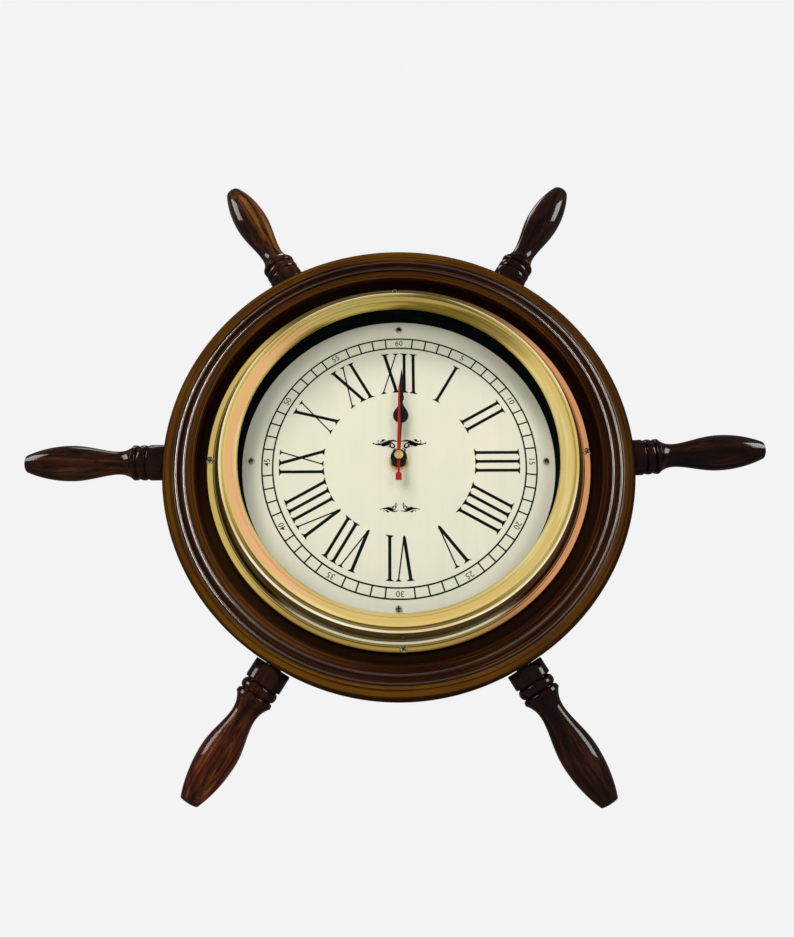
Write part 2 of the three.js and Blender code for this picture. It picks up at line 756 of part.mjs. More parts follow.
// Bezel: conical skirt round the tube, turned lip, step and dome, and the rebate that holds the glass
function addBezel() {
  const edge = glassSeatDepth + lipHeight;
  const dome = openingRadius + domeWidth;
  const profile = [
    [skirtRadius, bezelBaseDepth],
    [bezelBaseRadius, bezelBaseDepth],
    [bezelRadius, edge - bezelConeDrop],
    [bezelRadius - bezelLipRound, edge + bezelLipRise],
    [bezelRadius - 2 * bezelLipRound, edge + bezelLipRise / 2],
    [dome + bezelGrooveWidth / 2, edge - bezelGrooveDepth],
    [dome, edge],
    ...arc([openingRadius + domeWidth / 2, edge], [domeWidth / 2, domeRise], 45, 135, 2),
    [openingRadius, edge],
    [openingRadius, glassSeatDepth],
    [glassRadius + fixGap, glassSeatDepth],
    [glassRadius + fixGap, glassDepth],
    [skirtRadius, glassDepth],
  ];
  add('bezel_ring', turned(profile), brass);
  add('glass', turned([[0, glassDepth], [glassRadius, glassDepth],
    [glassRadius, glassDepth + glassThickness], [0, glassDepth + glassThickness]]), glassClear);
}

function addDial() {
  const inner = openingRadius + linerInset;
  const foot = dialDepth + seatGap;
  const outer = tubeInnerRadius - fixGap;
  add('inner_liner', turned([
    [inner, foot], [outer, foot], [outer, foot + linerFootHeight],
    [inner + linerWall, foot + linerFootHeight], [inner + linerWall, foot + linerHeight],
    [inner, foot + linerHeight],
  ]), blackPaint);

  const holes = [circle(bushRadius + fixGap, pipeSides)];
  for (const axis of dialScrewAxes()) holes.push(circle(dialScrewShankRadius + fixGap, smallSides, axis));
  add('dial_plate', plate(circle(outer, ringSides), holes, dialBackDepth, dialDepth), ivory);

  const head = {
    top: dialDepth + seatGap + dialScrewHeadHeight, height: dialScrewHeadHeight, radius: dialScrewHeadRadius,
  };
  dialScrewAxes().forEach((axis, i) => {
    add(`dial_screw_${i + 1}`, screw(axis, head, dialScrewShankRadius, dialDepth - dialScrewReach), steel);
  });
}

// Back panel set in the rim's rebate, with a square opening round the movement
function addBack() {
  const back = panelDepth;
  const front = panelDepth + backPanelThickness;
  const opening = vectors([
    [-shellHalfWidth - backPanelMargin, shellBottom - backPanelMargin],
    [shellHalfWidth + backPanelMargin, shellBottom - backPanelMargin],
    [shellHalfWidth + backPanelMargin, shellAbove + backPanelMargin],
    [-shellHalfWidth - backPanelMargin, shellAbove + backPanelMargin],
  ]);
  const outline = circle(rebateRadius - fixGap, ringSides);
  const recesses = backScrewAxes().flatMap((axis) => [
    rod(backScrewShankRadius + fixGap, back, front + fixGap, axis),
    rod(backScrewHeadRadius + fixGap, -seatGap, back + backScrewHeadHeight + backScrewRecess + seatGap, axis),
  ]);
  add('back_panel', carved(plate(outline, [opening], back, front), ...recesses), blackBoard);

  const head = { top: back + backScrewRecess, height: backScrewHeadHeight, radius: backScrewHeadRadius };
  backScrewAxes().forEach((axis, i) => {
    add(`back_screw_${i + 1}`, screw(axis, head, backScrewShankRadius, backScrewTip()), steel);
  });
}

function addHanger() {
  const back = seatGap;
  const front = back + hangerThickness;
  const outline = roundedRectangle(-hangerWidth / 2, hangerWidth / 2, hangerBottom, hangerTop, hangerCorner);
  const recesses = hangerScrewAxes().flatMap((axis) => [
    rod(hangerScrewShankRadius + fixGap, 0, front + fixGap, axis),
    rod(hangerScrewHeadRadius + fixGap, 0, back + hangerScrewHeadHeight + seatGap, axis),
  ]);
  const hanger = plate(outline, [keyholeOutline(0)], back, front);
  add('keyhole_hanger', carved(hanger, ...recesses), steel);

  const head = { top: back, height: hangerScrewHeadHeight, radius: hangerScrewHeadRadius };
  hangerScrewAxes().forEach((axis, i) => {
    add(`hanger_screw_${i + 1}`, screw(axis, head, hangerScrewShankRadius, hangerScrewTip()), steel);
  });
}

const hourHandDepth = dialDepth + hourHandHeight;
const minuteHandDepth = hourHandDepth + handThickness + minuteHandGap;
const secondHandDepth = minuteHandDepth + handThickness + secondHandGap;

// Turns a hand clockwise about the shafts, as seen from the front
function setTo(geometry, degrees) {
  return geometry.rotateY(THREE.MathUtils.degToRad(degrees));
}

function hubbed(outline, hubRadius, bore, back) {
  const hub = rod(hubRadius, back, back + handThickness, centreAxis, discSides);
  const collet = rod(bore + colletWall, back - colletLength, back + handThickness / 2, centreAxis, pipeSides);
  const hole = rod(bore, back - 2 * colletLength, back + 2 * handThickness, centreAxis, pipeSides);
  return carved(joined(plate(outline, [], back, back + handThickness), hub, collet), hole);
}

// Hour hand: a round hub, a slim stem, a pear-shaped bulb and a short leaf at the tip
function hourHandOutline() {
  const half = hourStemWidth / 2;
  const bulbTop = bulbDistance + bulbFrontLength;
  const bulb = [1, 0.75, 0.5, 0.25].map((share) => {
    const swell = (1 + Math.cos(Math.PI * share)) / 2;
    const reach = THREE.MathUtils.lerp(bulbNeckWidth / 2, bulbHalfWidth, swell);
    return [reach, bulbDistance + bulbFrontLength * share];
  });
  const belly = arc([0, bulbDistance], [bulbHalfWidth, bulbBackLength], 0, -78, 5);
  return mirrored([[0, bulbTop + hourTipLength], [hourTipWidth / 2, bulbTop + hourTipShoulder],
    ...bulb, ...belly, [half, bulbDistance - bulbBackLength], [half, 0]]);
}

// Minute hand: a long stem that opens into a slender lance
function minuteHandOutline() {
  const half = minuteStemWidth / 2;
  return mirrored([[0, minuteStemLength + lanceLength],
    [lanceWidth / 2, minuteStemLength + lanceShoulder], [lanceRootWidth / 2, minuteStemLength], [half, 0]]);
}

// Second hand: tapers to a rounded tip, with a blunt counterweight on its tail
function secondHandOutline() {
  const tip = secondTipWidth / 2;
  return mirrored([[0, secondHandLength], [tip, secondHandLength - tip],
    [secondRootWidth / 2, secondHubRadius], [secondRootWidth / 2, -secondHubRadius],
    [tailNeckWidth / 2, -tailNeckDistance],
    [tailBlockWidth / 2, -tailNeckDistance - tailShoulder], [tailBlockWidth / 2, -tailLength]]);
}

function addHands() {
  const hourBore = hourPipeRadius + turnGap;
  const hourHand = hubbed(hourHandOutline(), hourHubRadius, hourBore, hourHandDepth);
  add('hour_hand', setTo(hourHand, hourHandAngle), blackPaint);
  const minuteBore = minutePipeRadius + turnGap;
  const minuteHand = hubbed(minuteHandOutline(), minuteHubRadius, minuteBore, minuteHandDepth);
  add('minute_hand', setTo(minuteHand, minuteHandAngle), blackPaint);

  const back = secondHandDepth;
  const front = back + secondHandThickness;
  const blade = joined(plate(secondHandOutline(), [], back, front), rod(secondHubRadius, back, front));
  const hole = rod(capNeckRadius + turnGap, back - past, front + past);
  add('second_hand', setTo(carved(blade, hole), secondHandAngle), redPaint);

  const bore = secondsArborRadius + turnGap;
  const capBack = front + seatGap;
  const capFront = capBack + capHeight;
  const colletBack = back - secondHandGap / 2;
  add('second_hand_cap', turned([
    [0, capFront - capCrown], [bore, capFront - capCrown], [bore, colletBack], [colletRadius, colletBack],
    [colletRadius, back - seatGap], [capNeckRadius, back - seatGap], [capNeckRadius, capBack],
    [capRadius, capBack], [capRadius, capFront - capBevel], [capRadius - capBevel, capFront], [0, capFront],
  ], pipeSides), brass);

  const washerBack = dialDepth + seatGap;
  const bushBore = bushRadius + turnGap;
  const washerFront = washerBack + handWasherThickness;
  add('hand_washer', pipe(handWasherRadius, bushBore, washerBack, washerFront, discSides), brass);
  const nutBack = washerFront + seatGap;
  add('hand_nut', turned([
    [bushBore, nutBack], [handNutRadius, nutBack], [handNutRadius, nutBack + handNutHeight - handNutBevel],
    [handNutRadius - handNutBevel, nutBack + handNutHeight], [bushBore, nutBack + handNutHeight],
  ], discSides), brass);
  const rubberBack = shellDepth + seatGap;
  const rubberFront = rubberBack + rubberThickness;
  add('rubber_washer', pipe(rubberRadius, bushBore, rubberBack, rubberFront, discSides), rubberBlack);
}

// Clock wheel teeth: straight flanks to the pitch circle and pointed tips above it
function wheelOutline(teeth, module, phaseDegrees, axis) {
  const pitch = module * teeth / 2;
  const step = 360 / teeth;
  return Array.from({ length: teeth }, (_, i) => {
    const angle = phaseDegrees + step * i;
    return [
      axisFrom(axis, pitch - wheelDedendum * module, angle - step / 2),
      axisFrom(axis, pitch, angle - step * toothShare / 2),
      axisFrom(axis, pitch + wheelAddendum * module, angle),
      axisFrom(axis, pitch, angle + step * toothShare / 2),
    ];
  }).flat();
}

// Pinion leaves: slim, with radial flanks and a pointed crown
function leafOutline(leaves, module, phaseDegrees, axis) {
  const pitch = module * leaves / 2;
  const step = 360 / leaves;
  const half = step * leafShare / 2;
  const root = pitch - leafDedendum * module;
  return Array.from({ length: leaves }, (_, i) => {
    const angle = phaseDegrees + step * i;
    return [
      axisFrom(axis, root, angle - half),
      axisFrom(axis, pitch, angle - half),
      axisFrom(axis, pitch + leafAddendum * module, angle),
      axisFrom(axis, pitch, angle + half),
      axisFrom(axis, root, angle + half),
    ];
  }).flat();
}

// A wheel has a tooth on the line towards its pinion, and the pinion a gap on that line
function wheelDisc(teeth, module, towards, layer, axis, bore) {
  const holes = bore ? [circle(bore, pipeSides, axis)] : [];
  return plate(wheelOutline(teeth, module, towards, axis), holes, layer.back, layer.front);
}

function pinion(leaves, module, towards, layer, axis, bore) {
  const holes = bore ? [circle(bore, pipeSides, axis)] : [];
  const outline = leafOutline(leaves, module, towards + 180 / leaves, axis);
  return plate(outline, holes, layer.back - pinionExtra, layer.front + pinionExtra);
}

// Motion work: the minute pipe's pinion turns the motion wheel, whose pinion turns the hour wheel
function addMotionWork() {
  const pipeBack = centreLayer.back - layerPlay / 2;
  const minuteFront = minuteHandDepth + handThickness;
  add('minute_pipe', joined(
    pipe(minutePipeRadius, minuteBoreRadius, pipeBack, minuteFront),
    pinion(cannonLeaves, motionModule, motionDirection, motionLayer, centreAxis, minuteBoreRadius)), brass);

  const hourFront = hourHandDepth + handThickness;
  add('hour_wheel', joined(
    pipe(hourPipeRadius, hourBoreRadius, hourLayer.back, hourFront),
    wheelDisc(hourTeeth, hourModule, motionDirection, hourLayer, centreAxis, hourBoreRadius)), whitePlastic);

  const bore = stemTipRadius + turnGap;
  const hub = rod(motionHubRadius, motionLayer.back, motionLayer.front + layerPlay / 2, motionAxis);
  const wheel = wheelDisc(motionTeeth, motionModule, motionDirection + 180, motionLayer, motionAxis, 0);
  const leaves = pinion(motionLeaves, hourModule, motionDirection + 180,
    { back: motionLayer.front, front: hourLayer.front }, motionAxis, 0);
  const hole = rod(bore, motionLayer.back - past, shellInnerDepth, motionAxis);
  add('motion_wheel', carved(joined(wheel, hub, leaves), hole), whitePlastic);

  const knobBack = coverDepth - layerPlay / 2;
  const ribs = Array.from({ length: 2 * knobRibs }, (_, i) =>
    axisFrom(motionAxis, knobRadius - (i % 2) * knobRibDepth, 360 * i / (2 * knobRibs)));
  add('time_set_knob', joined(
    plate(ribs, [], knobBack, knobBack + knobThickness),
    rod(stemRadius, knobBack + knobThickness / 2, motionLayer.back - layerPlay / 2, motionAxis),
    rod(stemTipRadius, motionLayer.back - layerPlay, shellInnerDepth + pivotDepth - turnGap, motionAxis)),
  whitePlastic);
}

// Going train: rotor, intermediate wheel, seconds wheel, third wheel, and the centre wheel that slips on
// the minute pipe when the hands are set
function addGoingTrain() {
  const pivotBack = coverInnerDepth - pivotDepth + turnGap;
  const plateFront = plateLayer.front - turnGap;
  const arbor = (axis) => rod(arborRadius, pivotBack, plateFront, axis);

  add('centre_wheel', wheelDisc(centreTeeth, centreModule, thirdDirection, centreLayer, centreAxis,
    minutePipeRadius + turnGap), brass);
  add('third_wheel', joined(arbor(thirdAxis),
    wheelDisc(thirdTeeth, thirdModule, thirdDirection + 180, thirdLayer, thirdAxis, 0),
    pinion(thirdLeaves, centreModule, thirdDirection + 180, centreLayer, thirdAxis, 0)), whitePlastic);
  add('seconds_wheel', joined(
    rod(secondsArborRadius, pivotBack, secondHandDepth + secondHandThickness + capHeight - 2 * capCrown),
    wheelDisc(secondsTeeth, secondsModule, intermediateDirection, secondsLayer, centreAxis, 0),
    pinion(secondsLeaves, thirdModule, thirdDirection, thirdLayer, centreAxis, 0)), whitePlastic);
  add('intermediate_wheel', joined(arbor(intermediateAxis),
    wheelDisc(intermediateTeeth, intermediateModule, rotorDirection, intermediateLayer, intermediateAxis, 0),
    pinion(intermediateLeaves, secondsModule, intermediateDirection + 180, secondsLayer,
      intermediateAxis, 0)), whitePlastic);
  const magnetFront = plateLayer.back - turnGap;
  add('rotor', joined(arbor(rotorAxis),
    rod(magnetRadius, magnetFront - magnetHeight, magnetFront, rotorAxis, pipeSides),
    pinion(rotorLeaves, intermediateModule, rotorDirection + 180, intermediateLayer, rotorAxis, 0)), steel);
}

const coilMiddle = rotorAxis.y + coilRise;
const legBottom = coilMiddle - coilLength / 2 - statorArmWidth - fixGap;
const legTop = coilMiddle + coilLength / 2 + statorArmWidth + fixGap;

// Stator: a bar with the rotor's hole, and two arms that reach under the ends of the coil's core
function addMotor() {
  const back = plateLayer.back - seatGap - statorThickness;
  const front = plateLayer.back - seatGap;
  const left = rotorAxis.x - statorWidth / 2;
  const armEnd = coilAxisX + coilCoreWidth / 2;
  const outline = vectors([
    [left, legBottom], [armEnd, legBottom], [armEnd, legBottom + statorArmWidth],
    [statorRight, legBottom + statorArmWidth], [statorRight, legTop - statorArmWidth],
    [armEnd, legTop - statorArmWidth], [armEnd, legTop], [left, legTop],
  ]);
  const hole = circle(magnetRadius + magnetGap, discSides, rotorAxis);
  add('stator', plate(outline, [hole], back, front), steel);

  const coreFront = back - seatGap;
  const coreBack = coreFront - coilCoreThickness;
  const half = coilLength / 2;
  const winding = coilRadius - bobbinDepth;
  const bobbin = lathed([
    [0, -half], [coilRadius, -half], [coilRadius, coilFlange - half], [winding, coilFlange - half],
    [winding, half - coilFlange], [coilRadius, half - coilFlange], [coilRadius, half], [0, half],
  ], pipeSides);
  bobbin.rotateX(Math.PI / 2).translate(coilAxisX, -(coreFront + coreBack) / 2, coilMiddle);
  const core = block(coilAxisX - coilCoreWidth / 2, coilAxisX + coilCoreWidth / 2, legBottom, legTop,
    coreBack, coreFront);
  add('coil', joined(bobbin, core), copperWire);
}

function addCircuit() {
  const back = plateLayer.back - seatGap - boardThickness;
  const bottom = partitionTop + pillarInset;
  add('circuit_board', block(besideContact, besideContact + boardWidth, bottom, bottom + boardLength,
    back, back + boardThickness), boardGreen);
  const can = new THREE.CylinderGeometry(crystalRadius, crystalRadius, crystalLength, pipeSides);
  const canDepth = back - seatGap - crystalRadius;
  can.rotateX(Math.PI / 2).translate(besideContact + boardWidth / 2, -canDepth, bottom + boardLength / 2);
  add('quartz_crystal', can, steel);
}

function addMiddlePlate() {
  const right = statorRight;
  const bottom = partitionTop + fixGap;
  const top = shellAbove - shellWall - fixGap;
  const holes = [
    circle(minutePipeRadius + turnGap, pipeSides),
    circle(stemRadius + turnGap, pipeSides, motionAxis),
    circle(arborRadius + turnGap, smallSides, thirdAxis),
    circle(arborRadius + turnGap, smallSides, intermediateAxis),
    circle(arborRadius + turnGap, smallSides, rotorAxis),
  ];
  const outline = vectors([[besideContact, bottom], [right, bottom], [right, top], [besideContact, top]]);
  add('middle_plate', plate(outline, holes, plateLayer.back, plateLayer.front), blackPlastic);
}

// Front shell: a tray with the threaded bush, four pillars for the middle plate and the battery bay
function addShell() {
  const edge = coverInnerDepth + seatGap;
  const outline = roundedRectangle(-shellHalfWidth, shellHalfWidth, shellBottom, shellAbove, shellCorner);
  const tray = plate(outline, [], edge, shellDepth);
  const open = edge - past;
  const roomTop = shellAbove - shellWall;
  const room = block(-bayHalfLength, bayHalfLength, partitionTop, roomTop, open, shellInnerDepth);
  const bay = block(-bayHalfLength, bayHalfLength, bayBottom, partitionBottom, open, shellInnerDepth);
  const slots = [-1, 1].map((side) => contactSlot(side, open));
  const heights = [roomTop - pillarInset, partitionTop + pillarInset];
  const sides = [-bayHalfLength + pillarInset, statorRight - pillarInset];
  const root = shellInnerDepth + shellFront / 2;
  const posts = heights.flatMap((z) => sides.map((x) =>
    rod(pillarRadius, plateLayer.front + seatGap, root, new THREE.Vector2(x, z))));
  const bushFront = dialDepth + bushHeight;
  const bush = rod(bushRadius, root, bushFront, centreAxis, discSides);
  const bore = rod(bushBoreRadius, shellInnerDepth - past, bushFront + past, centreAxis, discSides);
  const pivotRadius = stemTipRadius + turnGap;
  const pivot = rod(pivotRadius, shellInnerDepth - past, shellInnerDepth + pivotDepth, motionAxis);
  const shell = carved(joined(carved(tray, room, bay, ...slots), bush, ...posts), bore, pivot);
  add('movement_shell', shell, blackPlastic);
}

function contactSlot(side, back) {
  const x = side * contactX;
  const half = contactThickness / 2 + batteryPlay;
  return block(x - half, x + half, partitionBottom - past, partitionTop + past,
    back, batteryDepth + contactWidth / 2 + batteryPlay);
}

const batteryDepth = shellInnerDepth - batteryPlay - batteryRadius;
const contactX = bayHalfLength - batteryPlay - contactThickness / 2;
const besideContact = fixGap + contactThickness / 2 - contactX;

// Battery and the two spring contacts at its ends; each contact turns up through a slot in the partition
function addBattery() {
  const half = batteryLength / 2;
  const cell = lathed([
    [0, -half], [batteryRadius, -half], [batteryRadius, half], [batteryNubRadius, half],
    [batteryNubRadius, half + batteryNubLength], [0, half + batteryNubLength],
  ], discSides);
  cell.rotateZ(-Math.PI / 2).translate(0, -batteryDepth, batteryHeight);
  add('battery', cell, batteryJacket);

  for (const [name, side] of [['contact_positive', 1], ['contact_negative', -1]]) {
    const x = side * contactX;
    const strip = block(x - contactThickness / 2, x + contactThickness / 2, bayBottom + batteryPlay,
      partitionTop + contactBend, batteryDepth - contactWidth / 2, batteryDepth + contactWidth / 2);
    add(name, strip, steel);
  }
}

// Back cover: holes for the setting knob, blind bearings for the arbors, and nothing over the battery bay
function addCover() {
  const outline = roundedRectangle(-shellHalfWidth, shellHalfWidth, partitionBottom, shellAbove, shellCorner);
  const cover = plate(outline, [], coverDepth, coverInnerDepth);
  const wellRadius = knobRadius + knobWellGap;
  const well = rod(wellRadius, coverDepth - past, coverInnerDepth + past, motionAxis, 2 * knobRibs);
  const bearings = [[thirdAxis, arborRadius], [intermediateAxis, arborRadius], [rotorAxis, arborRadius],
    [centreAxis, secondsArborRadius]].map(([axis, radius]) =>
    rod(radius + turnGap, coverInnerDepth - pivotDepth, coverInnerDepth + past, axis));
  add('movement_cover', carved(cover, well, ...bearings), blackPlastic);
}

addRim();
addHandles();
addCase();
addBezel();
addDial();
addBack();
addHanger();
addHands();
addShell();
addMiddlePlate();
addMotionWork();
addGoingTrain();
addMotor();
addCircuit();
addBattery();
addCover();

export default clock;
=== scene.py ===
# Ship wheel wall clock: the finish of every piece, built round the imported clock.
# The clock hangs at the origin and faces -Y. Its pieces are sized in millimetres, which MM turns into metres;
# finishes, lamps and cards are in metres.

import json
import math

import bmesh
import bpy
from mathutils import Matrix, Vector


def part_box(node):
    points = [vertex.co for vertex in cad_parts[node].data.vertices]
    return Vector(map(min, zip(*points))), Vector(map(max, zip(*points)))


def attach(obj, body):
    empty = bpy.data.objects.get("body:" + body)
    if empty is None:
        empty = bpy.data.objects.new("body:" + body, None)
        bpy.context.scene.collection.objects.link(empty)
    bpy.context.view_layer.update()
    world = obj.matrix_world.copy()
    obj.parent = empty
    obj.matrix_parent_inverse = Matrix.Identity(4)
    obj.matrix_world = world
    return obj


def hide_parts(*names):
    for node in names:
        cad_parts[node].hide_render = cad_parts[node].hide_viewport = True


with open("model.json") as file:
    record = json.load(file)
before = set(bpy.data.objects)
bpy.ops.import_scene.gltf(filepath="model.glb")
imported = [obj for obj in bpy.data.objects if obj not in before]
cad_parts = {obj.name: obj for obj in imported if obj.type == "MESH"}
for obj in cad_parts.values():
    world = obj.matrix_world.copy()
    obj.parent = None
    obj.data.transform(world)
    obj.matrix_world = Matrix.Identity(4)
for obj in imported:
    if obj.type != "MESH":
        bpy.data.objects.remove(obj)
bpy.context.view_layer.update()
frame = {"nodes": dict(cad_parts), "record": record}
nodes = frame["nodes"]

MM = 0.001
SLOT_OF = {part["node"]: part["material_slot"] for part in frame["record"]["subparts"]}
BODY_OF = {node: body for body, members in frame["record"]["behaviour"]["bodies"].items() for node in members}

RING_SEGMENTS = 360
HANDLE_SEGMENTS = 72
SMALL_SEGMENTS = 48


def low(node):
    """A node's lowest corner at rest, in millimetres."""
    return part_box(node)[0] / MM


def high(node):
    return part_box(node)[1] / MM


def depths(node):
    """How far a node's back and its front lie in front of the wall, in millimetres."""
    return -high(node).y, -low(node).y


def middle(node):
    """The middle of a node as seen from the front, in millimetres."""
    centre = (low(node) + high(node)) / 2
    return centre.x, centre.z


DIAL_BACK, DIAL_FRONT = depths("dial_plate")
GLASS_BACK, GLASS_FRONT = depths("glass")


def added(name, data):
    """A new object in the scene."""
    thing = bpy.data.objects.new(name, data)
    bpy.context.scene.collection.objects.link(thing)
    return thing


# Camera: low in front of the clock, looking up at the dial

CAMERA_DISTANCE = 495.0
CAMERA_RISE = 19.33
CAMERA_LENS = 30.44
SENSOR_WIDTH = 36.0
CAMERA_SHIFT = (-0.0019, -0.0077)


def place_camera():
    data = bpy.data.cameras.new("camera")
    data.lens = CAMERA_LENS
    data.sensor_width = SENSOR_WIDTH
    data.sensor_fit = "AUTO"
    data.shift_x, data.shift_y = CAMERA_SHIFT
    data.clip_start = 0.01
    camera = added("camera", data)
    rise = math.radians(CAMERA_RISE)
    dial = Vector((0, -DIAL_FRONT, 0)) * MM
    camera.location = dial - Vector((0, math.cos(rise), math.sin(rise))) * CAMERA_DISTANCE * MM
    camera.rotation_euler = (math.pi / 2 + rise, 0, 0)
    bpy.context.scene.camera = camera


# Materials: a small language for shader maths

FIRST_COLOUR, SECOND_COLOUR, MIXED_COLOUR = 6, 7, 2  # the Mix node's sockets for colour
NOISE_RUN = (0.3, 0.7)
FINISHES = {}


class Flow:
    """A number, colour or vector on its way through a finish's nodes."""

    def __init__(self, finish, socket):
        self.finish = finish
        self.socket = socket

    def maths(self, operation, *others):
        return self.finish.node("ShaderNodeMath", {"operation": operation}, dict(enumerate((self, *others))))

    def __add__(self, other):
        return self.maths("ADD", other)

    def __sub__(self, other):
        return self.maths("SUBTRACT", other)

    def __rsub__(self, other):
        return self * -1 + other

    def __mul__(self, other):
        return self.maths("MULTIPLY", other)

    def __truediv__(self, other):
        return self.maths("DIVIDE", other)

    def __pow__(self, other):
        return self.maths("POWER", other)

    def between(self, start, end, low=0.0, high=1.0):
        """Rises smoothly from low to high as the value goes from start to end."""
        settings = {"interpolation_type": "SMOOTHSTEP", "clamp": True}
        inputs = {"Value": self, "From Min": start, "From Max": end, "To Min": low, "To Max": high}
        return self.finish.node("ShaderNodeMapRange", settings, inputs)

    def spread(self, low, high):
        """Follows a noise over its usual run, from low to high."""
        return self.between(*NOISE_RUN, low, high)

    def band(self, rise, full, fade, end):
        """One between two values and nothing outside them, with soft borders."""
        return self.between(rise, full) * self.between(fade, end, 1.0, 0.0)


class Finish:
    """One material: a Principled shader and the nodes that vary it."""

    def __init__(self, name, **constants):
        self.material = FINISHES[name] = bpy.data.materials.new(name)
        self.material.use_nodes = True
        self.tree = self.material.node_tree
        self.tree.nodes.clear()
        self.output = self.tree.nodes.new("ShaderNodeOutputMaterial")
        self.shader = self.tree.nodes.new("ShaderNodeBsdfPrincipled")
        self.tree.links.new(self.shader.outputs[0], self.output.inputs["Surface"])
        self.set(**constants)

    def set(self, **sockets):
        """Sets the shader's sockets, named with underscores for spaces."""
        for name, value in sockets.items():
            self.feed(self.shader.inputs[name.replace("_", " ").title().replace("Ior", "IOR")], value)

    def feed(self, socket, value):
        """Links or sets a socket; three values of which one flows become a point."""
        if isinstance(value, tuple) and any(isinstance(part, Flow) for part in value):
            value = self.node("ShaderNodeCombineXYZ", inputs=dict(enumerate(value)))
        if isinstance(value, Flow):
            self.tree.links.new(value.socket, socket)
        else:
            socket.default_value = (*value, 1.0) if socket.type == "RGBA" else value

    def node(self, kind, settings=None, inputs=None, output=0):
        made = self.tree.nodes.new(kind)
        for name, value in (settings or {}).items():
            setattr(made, name, value)
        for name, value in (inputs or {}).items():
            self.feed(made.inputs[name], value)
        return Flow(self, made.outputs[output])

    def place(self):
        """The point on the piece, in metres, in the piece's own axes."""
        return self.node("ShaderNodeTexCoord", output="Object")

    def axes(self, vector=None):
        """The three parts of a vector, or of the point on the piece."""
        split = self.tree.nodes.new("ShaderNodeSeparateXYZ")
        self.feed(split.inputs[0], vector or self.place())
        return [Flow(self, socket) for socket in split.outputs]

    def noise(self, vector, scale, detail=3.0, roughness=0.55, distortion=0.0):
        inputs = {"Vector": vector, "Scale": scale, "Detail": detail, "Roughness": roughness,
                  "Distortion": distortion}
        return self.node("ShaderNodeTexNoise", inputs=inputs)

    def ramp(self, value, *stops):
        made = self.tree.nodes.new("ShaderNodeValToRGB")
        self.feed(made.inputs[0], value)
        elements = made.color_ramp.elements
        while len(elements) < len(stops):
            elements.new(1.0)
        for element, (position, colour) in zip(elements, stops):
            element.position = position
            element.color = (*colour, 1.0)
        return Flow(self, made.outputs[0])

    def mix(self, share, first, second):
        inputs = {"Factor": share, FIRST_COLOUR: first, SECOND_COLOUR: second}
        return self.node("ShaderNodeMix", {"data_type": "RGBA"}, inputs, MIXED_COLOUR)

    def layers(self, colour, *coats):
        """Lays one colour after another over the first, each by its own share."""
        for share, coat in coats:
            colour = self.mix(share, colour, coat)
        return colour

    def clouded(self, cloud, start, end, light, dark, *satin):
        """Two tones and a roughness that follow one noise."""
        self.set(base_color=self.mix(cloud.between(start, end), light, dark), roughness=cloud.spread(*satin))

    def bump(self, height, depth, strength=1.0, under=None):
        inputs = {"Height": height, "Distance": depth, "Strength": strength}
        if under is not None:
            inputs["Normal"] = under
        return self.node("ShaderNodeBump", inputs=inputs)


def across(finish):
    """A point's place on the clock's three axes and its distance from the middle one, in metres."""
    x, depth, z = finish.axes()
    return x, depth, z, (x * x + z * z) ** 0.5


# Wood. Each pair is the start and end, in metres, of a change across the rim or along a handle;
# a bead's shine rises over its first pair and fades over its second

COVE_STAIN_AND_SHADE = (0.1236, 0.1252)
FILLET_STAIN = (0.1290, 0.1302)
CROWN_STAIN = (0.1358, 0.1364)
EDGE_SHADE = (0.1416, 0.1430)
POLISHED_BEADS = ((0.1296, 0.1301, 0.1311, 0.1316), (0.1344, 0.1349, 0.1364, 0.1369))
HANDLE_ROOT_SHADE = (0.0, 0.019)
HANDLE_BELLY = (0.018, 0.040)
HANDLE_TIP = (0.0790, 0.0850)
LEFT_HANDLES_X = -0.072


